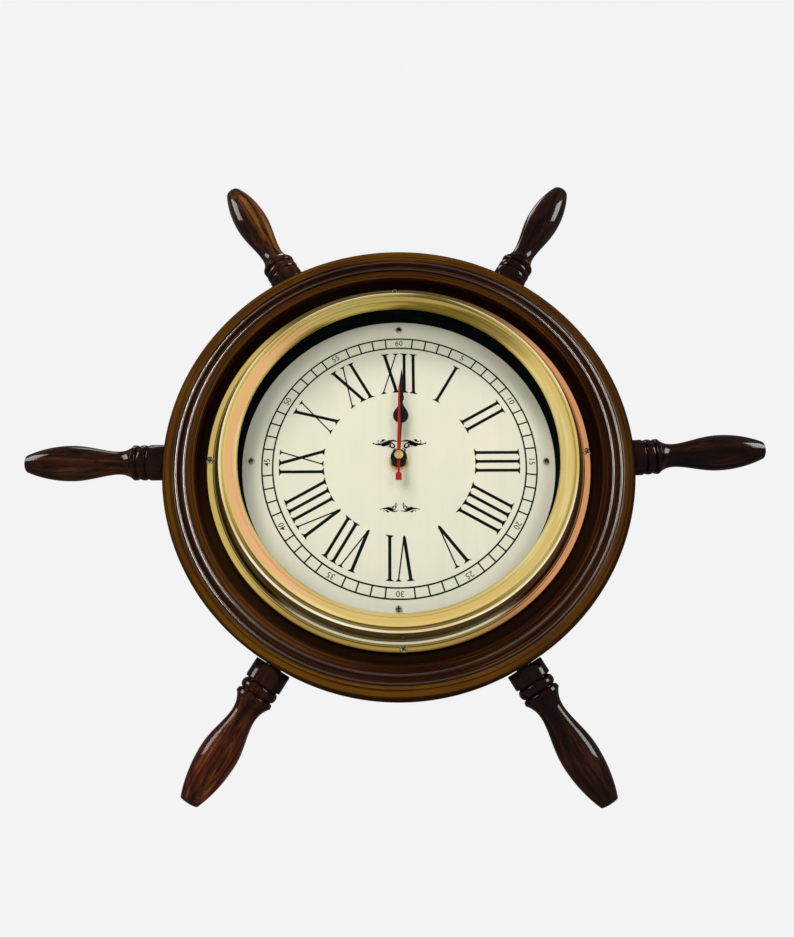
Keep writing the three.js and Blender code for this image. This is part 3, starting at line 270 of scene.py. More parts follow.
def rim_wood():
    """Walnut stain, golden on the crown and pooled dark in the hollows, with painted shade on the rounded
    outer edge, over the right of the crown, on the lower right of the fillet and in the cove, darkest at its
    top.
    """
    finish = Finish("rim_wood", coat_roughness=0.34, specular_ior_level=0.0)
    x, depth, z, radius = across(finish)
    rings = finish.noise((x * 5.0, radius * 1250.0 + depth * 650.0, z * 5.0), 1.0, 3.0, 0.66)
    bands = finish.noise((x * 3.0, radius * 300.0 + depth * 200.0, z * 3.0), 1.0, 2.0, 0.5)
    flecks = finish.noise((x * 46, radius * 1400.0 + depth * 700.0, z * 46), 1.0, 3.0, 0.6)
    cloud = finish.noise(finish.place(), 17.0, 3.0, 0.5)
    patches = cloud.between(0.35, 0.68)
    right = x / radius
    lower_right_shade = (x * 0.7 - z * 0.7) / radius
    golden = finish.mix(patches, (0.098, 0.041, 0.0045), (0.066, 0.025, 0.0040))
    # Painted shade: the crown turns darker towards its right.
    golden = finish.mix(right.between(0.30, 0.90) * 0.6, golden, (0.040, 0.0150, 0.0052))
    brown = finish.mix(patches, (0.026, 0.0086, 0.0032), (0.014, 0.0044, 0.0022))
    # Painted shade in the cove: near black at its top, browner towards its bottom.
    cove = finish.mix((z / radius).between(0.2, -0.6), (0.0066, 0.0022, 0.0018), (0.018, 0.0078, 0.0032))
    worn = rings.between(0.42, 0.34) * radius.between(*CROWN_STAIN, 1.0, 0.0)
    finish.set(base_color=finish.layers(
        brown,
        (bands.between(0.40, 0.58), (0.054, 0.0200, 0.0034)),
        # Painted shade on the lower right of the fillet.
        (lower_right_shade.between(0.1, 0.8) * 0.55, (0.013, 0.0042, 0.0024)),
        (radius.between(*FILLET_STAIN), brown),
        (radius.between(*CROWN_STAIN), golden),
        (rings.between(0.50, 0.60) * 0.85, (0.011, 0.0038, 0.0016)),
        (flecks.between(0.58, 0.74) * 0.45, (0.012, 0.0045, 0.0020)),
        (worn * 0.8, (0.092, 0.040, 0.015)),
        # Painted shade over the rounded outer edge.
        (radius.between(*EDGE_SHADE) * 0.80, (0.009, 0.0036, 0.0018)),
        # The cove's colour: the stain at the bottom, painted shade towards the top.
        (radius.between(*COVE_STAIN_AND_SHADE, 0.97, 0.0), cove),
    ))
    inner, outer = (radius.band(*bead) for bead in POLISHED_BEADS)
    finish.set(roughness=cloud.spread(0.22, 0.34), coat_weight=(inner + outer) * 0.25)
    finish.set(normal=finish.bump(rings, 0.00003, 0.16))


def handle_wood():
    """Dark rosewood stain under varnish: near black, but amber figure shows in the two left-hand handles."""
    finish = Finish("handle_wood", coat_weight=0.10, coat_roughness=0.09, specular_ior_level=0.0)
    x, along, z = finish.axes()
    shift_x, _, shift_z = finish.axes(finish.node("ShaderNodeObjectInfo", output="Location"))
    shifted = along + shift_x * 7 + shift_z * 5
    streaks = finish.noise((x * 145 + shift_x * 90, shifted * 11, z * 145 + shift_z * 70), 1.0, 5.0, 0.7, 0.5)
    broad = finish.noise((x * 60, shifted * 10 + 4.0, z * 60), 1.0, 3.0, 0.55, 0.4)
    pores = finish.noise((x * 560, along * 24 + shift_x * 50, z * 560), 1.0, 3.0, 0.6)
    dark = finish.ramp(streaks, (0.40, (0.0036, 0.0012, 0.0010)), (0.54, (0.011, 0.0032, 0.0022)),
                       (0.70, (0.030, 0.0090, 0.0050)))
    golden = finish.ramp(streaks, (0.40, (0.014, 0.0040, 0.0016)), (0.52, (0.076, 0.0240, 0.0050)),
                         (0.66, (0.200, 0.0820, 0.0170)))
    rusty = finish.ramp(streaks, (0.40, (0.012, 0.0024, 0.0013)), (0.52, (0.060, 0.0125, 0.0040)),
                        (0.68, (0.210, 0.0620, 0.0120)))
    amber = finish.mix(shift_z.between(-0.05, 0.05), rusty, golden)
    warm = (shift_x - LEFT_HANDLES_X).maths("ABSOLUTE").between(0.0, 0.110, 1.0, 0.06)
    finish.set(base_color=finish.layers(
        dark,
        (broad.between(0.30, 0.48) * along.between(*HANDLE_BELLY, 0.25, 1.0) * warm, amber),
        (pores.between(0.50, 0.66) * 0.75, (0.0026, 0.0010, 0.0009)),
        # Painted shade at the root, where the handle meets the rim.
        (along.between(*HANDLE_ROOT_SHADE, 0.6, 0.0), (0.0065, 0.0024, 0.0020)),
        (along.between(*HANDLE_TIP, 0.0, 0.6), (0.0060, 0.0034, 0.0026)),
    ))
    peel = finish.noise((x * 0.8, along * 0.45, z * 0.8), 620.0, 2.0, 0.5)
    finish.set(normal=finish.bump(pores, 0.00002, 0.3, finish.bump(peel, 0.00030, 0.8)))
    finish.set(roughness=streaks.spread(0.26, 0.38))


# Brass. Radii in metres of the turned forms that carry painted shade, painted highlights, a painted copper
# reflection or a rougher finish:
# where each begins and ends, or for a band, where it rises, is full, fades and ends

DOME_INNER = (0.0974, 0.1004, 0.1014, 0.1048)
DOME_FOOT = (0.0985, 0.1005)
GROOVE = (0.1046, 0.1050, 0.1056, 0.1062)
LIP_INNER = (0.1072, 0.1077)
LIP_OUTER = (0.1081, 0.1085)
LIP_WIDENING = 0.0005
BEZEL_WALL = (0.1079, 0.1085)
FLANGE_ROOT = (0.1126, 0.1140)
FLANGE_EDGE = (0.1163, 0.1172)


def spun_brass(name, gold):
    """Brass turned and lacquered, with faint lines round its axis, and what its painted shade, highlights and
    copper reflections go by.
    """
    finish = Finish(name)
    x, depth, z, radius = across(finish)
    lines = finish.noise((x * 3.0, radius * 1500.0 + depth * 900.0, z * 3.0), 1.0, 3.0, 0.6)
    cloud = finish.noise(finish.place(), 13.0, 2.0, 0.5)
    colour = finish.mix(lines.between(0.45, 0.75) * 0.10, gold, (0.55, 0.36, 0.10))
    finish.set(normal=finish.bump(lines, 0.000003, 0.12))
    return finish, colour, lines, cloud, x, z, radius


def case_brass():
    """Painted shade on the flange: beside the bezel at the left and right, at the top and at the bottom, with
    a painted highlight low in the root and a painted copper reflection on the right.
    """
    finish, colour, lines, cloud, x, z, radius = spun_brass("case_brass", (0.62, 0.46, 0.125))
    right = x / radius + cloud * 1.0 - 0.5
    height = z / radius + cloud * 0.5 - 0.25
    aside = x.maths("ABSOLUTE") / radius + cloud * 0.4 - 0.2
    bead = radius.between(*FLANGE_ROOT)
    root = radius.between(*FLANGE_ROOT, 1.0, 0.0)
    edge = radius.between(*FLANGE_EDGE)
    # The root at the bottom carries a painted highlight, pale and not metallic.
    valley_highlight = root * height.between(-0.76, -0.92)
    finish.set(metallic=1.0 - valley_highlight, roughness=lines.between(0.3, 0.75, 0.14, 0.21))
    finish.set(base_color=finish.layers(
        colour,
        # Painted copper reflection on the right of the flange.
        (right.between(0.15, 0.70), (0.70, 0.32, 0.145)),
        # Painted shade over the top of the flange.
        (height.between(0.60, 0.92) * 0.88, (0.060, 0.034, 0.010)),
        # Painted shade on the bead towards the bottom.
        (height.between(-0.62, -0.88) * bead * 0.50, (0.16, 0.085, 0.014)),
        # Painted shade in the root beside the bezel, at the left and right.
        (root * aside.between(0.44, 0.68) * 0.96, (0.034, 0.017, 0.004)),
        # Painted highlight low in the root.
        (valley_highlight, (1.0, 0.92, 0.62)),
        # Painted shade on the outer edge at the top and, more lightly, at the bottom.
        (edge * height.between(0.35, 0.7) * 0.9, (0.012, 0.006, 0.002)),
        (edge * height.between(-0.62, -0.90) * 0.7, (0.11, 0.055, 0.010)),
    ))


def bezel_brass():
    """A bright dome, with painted olive shade at the top, a painted copper reflection along its inner left
    half, painted brown shade on the wall and in the groove below, and a painted highlight along the lip,
    widest and brightest at the bottom.
    """
    finish, colour, lines, cloud, x, z, radius = spun_brass("bezel_brass", (0.74, 0.55, 0.175))
    smudge = finish.noise((x * 11, radius * 190.0, z * 11), 1.0, 2.0, 0.5)
    left = x * -1.0 / radius + cloud * 0.5 - 0.25
    lower = (x * -0.26 - z * 0.97) / radius + cloud * 0.3 - 0.15
    olive = (z / radius + cloud * 0.4 - 0.2).between(0.50, 0.96)
    wall = radius.between(*BEZEL_WALL) * lower.between(-0.38, -0.08)
    groove = radius.band(*GROOVE)
    # The lip's painted highlight: widened towards the bottom, and brighter there.
    widened = radius + lower.between(0.62, 0.92) * LIP_WIDENING
    lip = widened.between(*LIP_INNER) * radius.between(*LIP_OUTER, 1.0, 0.0)
    shine = smudge.between(0.36, 0.54) * 0.75 + lower.between(0.5, 0.85) * 0.25
    foot = radius.between(*DOME_FOOT, 0.14, 0.0)
    finish.set(metallic=1.0 - groove * 0.65, roughness=lines.between(0.3, 0.75, 0.12, 0.19) + foot)
    finish.set(base_color=finish.layers(
        colour,
        (smudge.between(0.50, 0.66) * 0.5, (0.93, 0.84, 0.44)),
        # Painted copper reflection on the left, mostly over the dome's inner half.
        (left.between(0.28, 0.72) * (radius.band(*DOME_INNER) * 0.70 + 0.10), (0.94, 0.46, 0.240)),
        # Painted shade at the top: olive, and darker in patches.
        (olive * 0.75, (0.36, 0.270, 0.050)),
        (olive * smudge.between(0.56, 0.44) * 0.85, (0.115, 0.078, 0.006)),
        # Painted shade on the bezel wall, all round but for its top.
        (wall * 0.96, (0.030, 0.0125, 0.0030)),
        (groove * 0.8, (0.66, 0.60, 0.28)),
        # Painted shade in the groove towards the bottom.
        (groove * lower.between(0.40, 0.85) * 0.9, (0.050, 0.034, 0.010)),
        # Painted highlight along the lip.
        (lip * shine, (1.0, 0.95, 0.76)),
    ))


# Other metal

RECESS_SHADE = (0.0006, 0.0008)


def worn_metal(name, light, dark, roughness, scale=700.0):
    """Plated metal with fine handling marks."""
    finish = Finish(name, metallic=1.0)
    cloud = finish.noise(finish.place(), scale * 0.3, 3.0, 0.6)
    grit = finish.noise(finish.place(), scale * 3, 3.0, 0.6)
    finish.clouded(cloud, 0.38, 0.68, light, dark, roughness * 0.8, roughness * 1.25)
    finish.set(normal=finish.bump(grit, 0.00003, 0.3))


def screw_metal(name, light, dark, node):
    """Plated screw, with painted shade in its cross recess."""
    finish = Finish(name)
    cloud = finish.noise(finish.place(), 540.0, 3.0, 0.6)
    recess_shade = (finish.axes()[1] - low(node).y * MM).between(*RECESS_SHADE)
    colour = finish.mix(cloud.between(0.38, 0.68), light, dark)
    # Painted shade: the cross recess is near black and not metallic.
    finish.set(base_color=finish.mix(recess_shade, colour, (0.0040, 0.0028, 0.0020)), metallic=1.0 - recess_shade)
    finish.set(roughness=cloud.spread(0.24, 0.38))


def hand_paint(name, light, dark, roughness):
    """Thin satin paint on a stamped hand, with the brush of the rolled sheet under it."""
    finish = Finish(name, specular_ior_level=0.12)
    x, y, z = finish.axes()
    rolled = finish.noise((x * 900, y * 200, z * 60), 2.0, 3.0, 0.6)
    finish.clouded(rolled, 0.35, 0.7, light, dark, roughness * 0.85, roughness * 1.2)
    finish.set(normal=finish.bump(rolled, 0.00002, 0.25))


# Dial, print, glass and liner

def dial_enamel():
    """Satin ivory enamel over brushed sheet: faint upright streaks and a little mottling."""
    finish = Finish("dial_ivory", specular_ior_level=0.35)
    x, _, z = finish.axes()
    brushed = finish.noise((x * 210, 0.0, z * 4.0), 1.0, 4.0, 0.6)
    bands = finish.noise((x * 34, 0.0, z * 3.0), 1.3, 2.0, 0.5)
    mottle = finish.noise(finish.place(), 26.0, 4.0, 0.55)
    finish.set(base_color=finish.layers(
        (0.705, 0.697, 0.582),
        (bands.between(0.35, 0.70), (0.680, 0.676, 0.566)),
        (mottle.between(0.45, 0.75) * 0.4, (0.780, 0.735, 0.585)),
        (brushed.between(0.5, 0.75) * 0.25, (0.62, 0.61, 0.51)),
    ))
    finish.set(roughness=brushed.spread(0.36, 0.48), normal=finish.bump(brushed, 0.00001, 0.3))


def printed_ink(name, tone):
    """Screen-printed ink, a little uneven in its cover."""
    finish = Finish(name, specular_ior_level=0.08)
    cover = finish.noise(finish.place(), 1500.0, 2.0, 0.6)
    pale = tuple(channel * 1.6 + 0.004 for channel in tone)
    finish.set(base_color=finish.mix(cover.between(0.5, 0.75) * 0.5, tone, pale))
    finish.set(roughness=cover.spread(0.42, 0.58))


def clear_glass():
    """Thin flat glass: clear seen square on, and a mirror at its edges and at low angles."""
    finish = Finish("dial_glass", metallic=1.0, base_color=(0.93, 0.96, 0.95))
    smear = finish.noise(finish.place(), 34.0, 3.0, 0.6)
    finish.set(roughness=smear.between(0.45, 0.8, 0.012, 0.05))
    facing = finish.node("ShaderNodeLayerWeight", inputs={"Blend": 0.5}, output="Facing")
    clear = finish.node("ShaderNodeBsdfTransparent", inputs={"Color": (0.985, 0.985, 0.975)})
    mirror = Flow(finish, finish.shader.outputs[0])
    mixed = finish.node("ShaderNodeMixShader", inputs={0: facing ** 5 * 0.5, 1: clear, 2: mirror})
    finish.tree.links.new(mixed.socket, finish.output.inputs["Surface"])


def black_lacquer():
    """Glossy black paint inside the case, with the pull of the brush round it."""
    finish = Finish("liner_black", specular_ior_level=0.0)
    x, depth, z, radius = across(finish)
    pull = finish.noise((x.maths("ARCTAN2", z) * 2.0, depth * 260, radius * 40), 1.5, 3.0, 0.6)
    finish.clouded(pull, 0.4, 0.7, (0.0024, 0.0036, 0.0044), (0.0050, 0.0072, 0.0082), 0.12, 0.26)
    finish.set(normal=finish.bump(pull, 0.00003, 0.2))


# Plastic, board, rubber and wire

def moulded_plastic(name, light, dark, roughness):
    """Moulded plastic with a fine spark-eroded grain."""
    finish = Finish(name, specular_ior_level=0.45)
    grain = finish.noise(finish.place(), 3600.0, 2.0, 0.6)
    cloud = finish.noise(finish.place(), 60.0, 2.0, 0.5)
    finish.clouded(cloud, 0.35, 0.7, light, dark, roughness * 0.85, roughness * 1.15)
    finish.set(normal=finish.bump(grain, 0.00003, 0.4))


def fibre_board():
    """Black stained fibreboard: matted fibres and a dusty bloom."""
    finish = Finish("panel_board", specular_ior_level=0.25)
    x, y, z = finish.axes()
    fibres = finish.noise((x, y, z * 2.2), 520.0, 5.0, 0.7, 0.8)
    bloom = finish.noise(finish.place(), 14.0, 4.0, 0.6)
    finish.set(base_color=finish.layers(
        (0.0075, 0.0065, 0.0055),
        (fibres.between(0.35, 0.7), (0.028, 0.024, 0.020)),
        (bloom.between(0.5, 0.8) * 0.3, (0.050, 0.045, 0.038)),
    ))
    finish.set(roughness=bloom.spread(0.78, 0.92), normal=finish.bump(fibres, 0.00015, 0.5))


WIRE_PITCH = 0.00035


def wound_wire():
    """Enamelled copper wire in close turns along the coil."""
    finish = Finish("coil_copper", roughness=0.35, metallic=0.85)
    turns = (finish.axes()[2] * (2 * math.pi / WIRE_PITCH)).maths("SINE")
    finish.set(base_color=finish.mix(turns.between(-1, 1), (0.22, 0.065, 0.022), (0.50, 0.19, 0.075)))
    finish.set(normal=finish.bump(turns, 0.00006, 0.5))


SLEEVE_BAND = (0.0138, 0.0142)


def battery_jacket():
    """Plain grey printed sleeve with a darker band at the positive end."""
    finish = Finish("battery_jacket", metallic=0.4)
    scuff = finish.noise(finish.place(), 240.0, 4.0, 0.6)
    finish.set(base_color=finish.layers(
        (0.20, 0.22, 0.24),
        (finish.axes()[0].between(*SLEEVE_BAND), (0.045, 0.047, 0.050)),
        (scuff.between(0.58, 0.8) * 0.5, (0.34, 0.34, 0.33)),
    ))
    finish.set(roughness=scuff.spread(0.24, 0.42), normal=finish.bump(scuff, 0.00003, 0.2))


rim_wood()
handle_wood()
case_brass()
bezel_brass()
clear_glass()
black_lacquer()
dial_enamel()
fibre_board()
wound_wire()
battery_jacket()
worn_metal("hanger_steel", (0.55, 0.55, 0.52), (0.38, 0.37, 0.34), 0.35)
worn_metal("hand_brass", (0.80, 0.60, 0.26), (0.62, 0.44, 0.17), 0.2)
worn_metal("train_brass", (0.74, 0.54, 0.20), (0.58, 0.40, 0.14), 0.24)
worn_metal("rotor_steel", (0.22, 0.22, 0.23), (0.13, 0.13, 0.14), 0.35)
worn_metal("stator_steel", (0.46, 0.46, 0.46), (0.34, 0.34, 0.35), 0.4)
worn_metal("crystal_steel", (0.66, 0.66, 0.68), (0.50, 0.50, 0.52), 0.22)
worn_metal("contact_steel", (0.62, 0.61, 0.57), (0.47, 0.46, 0.43), 0.28)
worn_metal("screw_steel", (0.58, 0.54, 0.46), (0.34, 0.31, 0.26), 0.3, scale=1800.0)
screw_metal("flange_screw_metal", (0.62, 0.50, 0.26), (0.36, 0.27, 0.12), "flange_screw_1")
screw_metal("dial_screw_metal", (0.56, 0.53, 0.46), (0.30, 0.28, 0.24), "dial_screw_1")
hand_paint("hand_black", (0.0040, 0.0058, 0.0062), (0.0080, 0.0105, 0.0112), 0.32)
hand_paint("hand_red", (0.34, 0.018, 0.014), (0.29, 0.008, 0.007), 0.38)
moulded_plastic("washer_rubber", (0.010, 0.010, 0.010), (0.016, 0.016, 0.015), 0.8)
moulded_plastic("shell_plastic", (0.012, 0.012, 0.0125), (0.018, 0.018, 0.018), 0.48)
moulded_plastic("wheel_plastic", (0.72, 0.70, 0.64), (0.64, 0.62, 0.55), 0.38)
moulded_plastic("board_green", (0.012, 0.095, 0.035), (0.009, 0.070, 0.026), 0.4)
printed_ink("print_black", (0.0030, 0.0034, 0.0038))
printed_ink("print_grey", (0.026, 0.026, 0.024))


# Shapes

WELD = 1e-8


def stored(name, mesh):
    """A bmesh as mesh data."""
    data = bpy.data.meshes.new(name)
    mesh.to_mesh(data)
    mesh.free()
    return data


def smoothed(data, sharp=35.0):
    """Smooth faces, but for the edges sharper than an angle in degrees."""
    data.polygons.foreach_set("use_smooth", [True] * len(data.polygons))
    data.set_sharp_from_angle(angle=math.radians(sharp))


def dress(name, data, node, finish=None, stands_for=True, sharp=35.0):
    """Makes a piece of mesh data: it rides with the node's body, in the node's finish or a named one."""
    smoothed(data, sharp)
    data.materials.clear()
    data.materials.append(FINISHES[finish or SLOT_OF[node]])
    piece = added(name, data)
    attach(piece, BODY_OF[node])
    if stands_for:
        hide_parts(node)
    return piece


def settle(name, mesh, node, **settings):
    """Makes a piece of a bmesh."""
    return dress(name, stored(name, mesh), node, **settings)


def arc(centre, radii, start, end, steps):
    """Points on an ellipse from one angle to another, in degrees."""
    points = []
    for step in range(steps + 1):
        angle = math.radians(start + (end - start) * step / steps)
        points.append((centre[0] + radii[0] * math.cos(angle), centre[1] + radii[1] * math.sin(angle)))
    return points


def traced(point, steps, first=0):
    """Points at even shares of a way, from share 0 or a later step to share 1."""
    return [point(step / steps) for step in range(first, steps + 1)]


def turned(x, z, angle):
    return x * math.cos(angle) - z * math.sin(angle), x * math.sin(angle) + z * math.cos(angle)


def welded(mesh):
    """Joins points that coincide and turns every face outwards."""
    bmesh.ops.remove_doubles(mesh, verts=mesh.verts, dist=WELD)
    bmesh.ops.dissolve_degenerate(mesh, edges=mesh.edges, dist=WELD)
    bmesh.ops.recalc_face_normals(mesh, faces=mesh.faces)
    return mesh


def spun(profile, segments, along=-1.0):
    """Turns a profile of (radius, depth) in millimetres about the Y axis; along 1 counts depth backwards."""
    mesh = bmesh.new()
    rings = []
    for step in range(segments):
        angle = 2 * math.pi * step / segments
        rings.append([mesh.verts.new((r * math.sin(angle) * MM, along * h * MM, r * math.cos(angle) * MM))
                      for r, h in profile])
    for ring, following in zip(rings, rings[1:] + rings[:1]):
        for i in range(len(profile)):
            j = (i + 1) % len(profile)
            if profile[i][0] > 0 or profile[j][0] > 0:
                mesh.faces.new((ring[i], ring[j], following[j], following[i]))
    return welded(mesh)


def prisms(outlines, back, front):
    """Flat-sided solids: outlines of (x, z) between two depths, all in millimetres."""
    mesh = bmesh.new()
    for outline in outlines:
        near, far = ([mesh.verts.new((x * MM, -depth * MM, z * MM)) for x, z in outline]
                     for depth in (front, back))
        mesh.faces.new(near)
        mesh.faces.new(far[::-1])
        for i in range(len(outline)):
            j = (i + 1) % len(outline)
            mesh.faces.new((near[j], near[i], far[i], far[j]))
    bmesh.ops.recalc_face_normals(mesh, faces=mesh.faces)
    return mesh


def turn(name, profile, node, sharp, segments=RING_SEGMENTS):
    """Makes a turned piece."""
    settle(name, spun(profile, segments), node, sharp=sharp)


def cutter(mesh):
    return added("cutter", stored("cutter", mesh))


def carved(piece, tools):
    """Cuts other meshes out of a piece and takes them away."""
    for tool in tools:
        cut = piece.modifiers.new("cut", "BOOLEAN")
        cut.operation = "DIFFERENCE"
        cut.solver = "EXACT"
        cut.object = tool
    shaped = piece.evaluated_get(bpy.context.evaluated_depsgraph_get())
    data = bpy.data.meshes.new_from_object(shaped)
    piece.modifiers.clear()
    piece.data = data
    smoothed(data)
    for tool in tools:
        bpy.data.objects.remove(tool)


def screw_holes(prefix, count, radius, back, front):
    """Round cutters where a row of screws goes in."""
    holes = []
    for index in range(count):
        x, z = middle(f"{prefix}_{index + 1}")
        mesh = spun([(0, back), (radius, back), (radius, front), (0, front)], SMALL_SEGMENTS)
        bmesh.ops.translate(mesh, verts=mesh.verts, vec=(x * MM, 0, z * MM))
        holes.append(cutter(mesh))
    return holes


def rounded_box(left, right, bottom, top, corner):
    outline = []
    for x, z, start in ((right, top, 0), (left, top, 90), (left, bottom, 180), (right, bottom, 270)):
        centre = (x - math.copysign(corner, x - (left + right) / 2),
                  z - math.copysign(corner, z - (bottom + top) / 2))
        outline += arc(centre, (corner, corner), start, start + 90, 6)
    return outline


def box_round(node, margin, corner):
    """A rounded box round a node as seen from the front."""
    lowest, highest = low(node), high(node)
    return rounded_box(lowest.x - margin, highest.x + margin, lowest.z - margin, highest.z + margin, corner)


# Rim

RIM_BORE = 105.0
SEAT_DEPTH = 23.6
SEAT_RADIUS = 119.6
REBATE_RADIUS = 113.0
REBATE_DEPTH = 3.4
HANGER_MARGIN = 0.3
HANGER_CORNER = 3.0
HANGER_BEVEL = 0.12
KEYHOLE_RADIUS = 4.2
KEYHOLE_SLOT = 8.0
KEYHOLE_HEIGHT = middle("keyhole_hanger")[1] - KEYHOLE_SLOT / 2
POCKET_MARGIN = 2.0
POCKET_DEPTH = 8.0


def rim_profile():
    """Cove, fillet, bead, hollow, bead, quirk and crowned band, as they follow each other outwards."""
    profile = [(RIM_BORE, REBATE_DEPTH), (RIM_BORE, SEAT_DEPTH)]
    profile += arc((SEAT_RADIUS, 31.0), (4.9, 7.4), -90, 0, 20)
    profile += [(126.2, 31.05), (126.35, 31.25), (128.0, 31.3), (128.15, 31.5), (129.6, 31.55), (129.7, 32.0)]
    profile += arc((130.4, 32.0), (0.7, 0.62), 165, 5, 8)
    profile += arc((132.8, 32.55), (1.65, 0.75), 190, 350, 12)
    profile += arc((135.2, 32.5), (0.7, 0.62), 175, 10, 8)
    profile += [(135.95, 32.2), (136.2, 31.9), (136.45, 32.3), (136.6, 33.1)]
    profile += arc((139.2, 33.1), (2.6, 0.70), 165, 90, 6)
    profile += [(140.6, 33.72)]
    profile += arc((141.5, 31.45), (2.2, 2.15), 80, 0, 10)
    profile += arc((141.7, 2.0), (2.0, 2.0), 0, -90, 6)
    profile += [(REBATE_RADIUS, 0.0), (REBATE_RADIUS, REBATE_DEPTH)]
    return profile


def make_rim():
    """The rim, with the hanger's recess and the pocket behind its keyhole sunk into the back."""
    rim = settle("rim", spun(rim_profile(), RING_SEGMENTS), "wheel_rim", sharp=50)
    recess = box_round("keyhole_hanger", HANGER_MARGIN, HANGER_CORNER)
    reach = KEYHOLE_RADIUS + POCKET_MARGIN
    top = KEYHOLE_HEIGHT + KEYHOLE_SLOT + POCKET_MARGIN
    pocket = rounded_box(-reach, reach, KEYHOLE_HEIGHT - reach, top, POCKET_MARGIN)
    recess_depth = depths("keyhole_hanger")[1] + 0.1
    carved(rim, [cutter(prisms([outline], -1.0, depth))
                 for outline, depth in ((recess, recess_depth), (pocket, POCKET_DEPTH))])


# Handles

TENON_LENGTH = 14.0
END_TOLERANCE = 0.6
BASE_RADIUS = 11.1
GROOVE_RADIUS = 9.4
GROOVE_WIDTH = 0.7
BEAD_RADIUS = 11.0
BEAD_LENGTH = 6.0
COLLAR_RADIUS = 11.0
COLLAR_LENGTH = 3.2
FLARE_LENGTH = 10.0
FLARE_FALL = 2.3
FLARE_START = 0.86
NECK_RADIUS = 7.2
SWELL_POWER = 0.85
BELLY_RADIUS = 11.1
BELLY_TO_TIP = 28.0
TIP_RADIUS = 5.6
TIP_POWER = 0.95
TIP_CROWN = 0.9


def measured_handle(node):
    """From a handle's own solid: its foot, its direction, the length of its base and its reach."""
    corners = {tuple(round(value / MM, 3) for value in vertex.co) for vertex in nodes[node].data.vertices}
    corners = [Vector(corner) for corner in sorted(corners)]
    outward = (low(node) + high(node)) / 2
    outward.y = 0
    outward.normalize()
    reaches = [corner.dot(outward) for corner in corners]
    inner = [corner for corner, reach in zip(corners, reaches) if reach < min(reaches) + END_TOLERANCE]
    outer = [corner for corner, reach in zip(corners, reaches) if reach > max(reaches) - END_TOLERANCE]
    foot = sum(inner, Vector()) / len(inner)
    tip = sum(outer, Vector()) / len(outer)
    direction = (tip - foot).normalized()
    heights = sorted((corner - foot).dot(direction) - TENON_LENGTH for corner in corners)
    base = next(height for height in heights if height > BASE_RADIUS / 4)
    return foot + direction * TENON_LENGTH, direction, base, (tip - foot).length - TENON_LENGTH


def handle_profile(base, reach):
    """From the tenon to the tip: base, groove, bead, groove, flared collar, neck, belly and blunt end."""
    first = base + GROOVE_WIDTH / 2
    second = first + BEAD_LENGTH
    lip = second + COLLAR_LENGTH
    neck = lip + FLARE_LENGTH
    belly = reach - BELLY_TO_TIP

    def flare(share):
        radius = NECK_RADIUS + (COLLAR_RADIUS - NECK_RADIUS) * FLARE_START * (1 - share) ** FLARE_FALL
        return radius, lip + 0.25 + (FLARE_LENGTH - 0.25) * share

    def swell(share):
        fullness = (0.5 - 0.5 * math.cos(math.pi * share)) ** SWELL_POWER
        return NECK_RADIUS + (BELLY_RADIUS - NECK_RADIUS) * fullness, neck + (belly - neck) * share

    def taper(share):
        share = math.sin(share * math.pi / 2)
        radius = TIP_RADIUS + (BELLY_RADIUS - TIP_RADIUS) * (1 - share ** 2) ** TIP_POWER
        return radius, belly + (BELLY_TO_TIP - TIP_CROWN) * share

    bead = ((GROOVE_RADIUS - 0.1, first + BEAD_LENGTH / 2), (BEAD_RADIUS - GROOVE_RADIUS + 0.1, 2.75))
    profile = [(0.0, -13.9), (4.4, -13.9), (4.9, -13.3), (4.9, 0.3), (BASE_RADIUS - 0.4, 0.3),
               (BASE_RADIUS, 0.7)]
    profile += arc((BASE_RADIUS - 0.9, base - 0.9), (0.9, 0.9), 0, 70, 6)
    profile += arc((GROOVE_RADIUS + 0.35, first), (0.4, 0.32), 230, 130, 4)
    profile += arc(*bead, -72, 72, 16)
    profile += arc((GROOVE_RADIUS + 0.35, second), (0.4, 0.32), 230, 130, 4)
    profile += arc((COLLAR_RADIUS - 1.3, second + 1.5), (1.15, 1.15), -70, 0, 6)
    profile += arc((COLLAR_RADIUS - 0.5, lip - 0.35), (0.5, 0.5), -10, 80, 6)
    profile += traced(flare, 14, 1) + traced(swell, 20, 1) + traced(taper, 24, 1)
    profile += arc((TIP_RADIUS - 0.6, reach - TIP_CROWN), (0.6, 0.6), 10, 65, 5)
    profile += [(TIP_RADIUS * 0.5, reach - 0.12), (0.0, reach)]
    return profile


def make_handles():
    for index in range(6):
        node = f"handle_{index + 1}"
        foot, direction, base, reach = measured_handle(node)
        mesh = spun(handle_profile(base, reach), HANDLE_SEGMENTS, along=1.0)
        piece = settle(f"handle_piece_{index + 1}", mesh, node, sharp=45)
        piece.rotation_mode = "QUATERNION"
        piece.rotation_quaternion = direction.to_track_quat("Y", "Z")
        piece.location = foot * MM


# Case, bezel, glass and liner

TUBE_INNER = 102.9
TUBE_OUTER = 104.5
TUBE_BACK = 3.5
TUBE_FRONT = 34.9
LEDGE_BORE = 85.0
LEDGE_BACK = 16.5
LEDGE_FRONT = 18.1
FLANGE_BACK = 23.7
FLANGE_FRONT = 27.6
BEZEL_BACK = 27.7
BEZEL_BORE = 97.2
GLASS_RADIUS = 102.2
LINER_OUTER = 102.6
LINER_LENGTH = 16.0


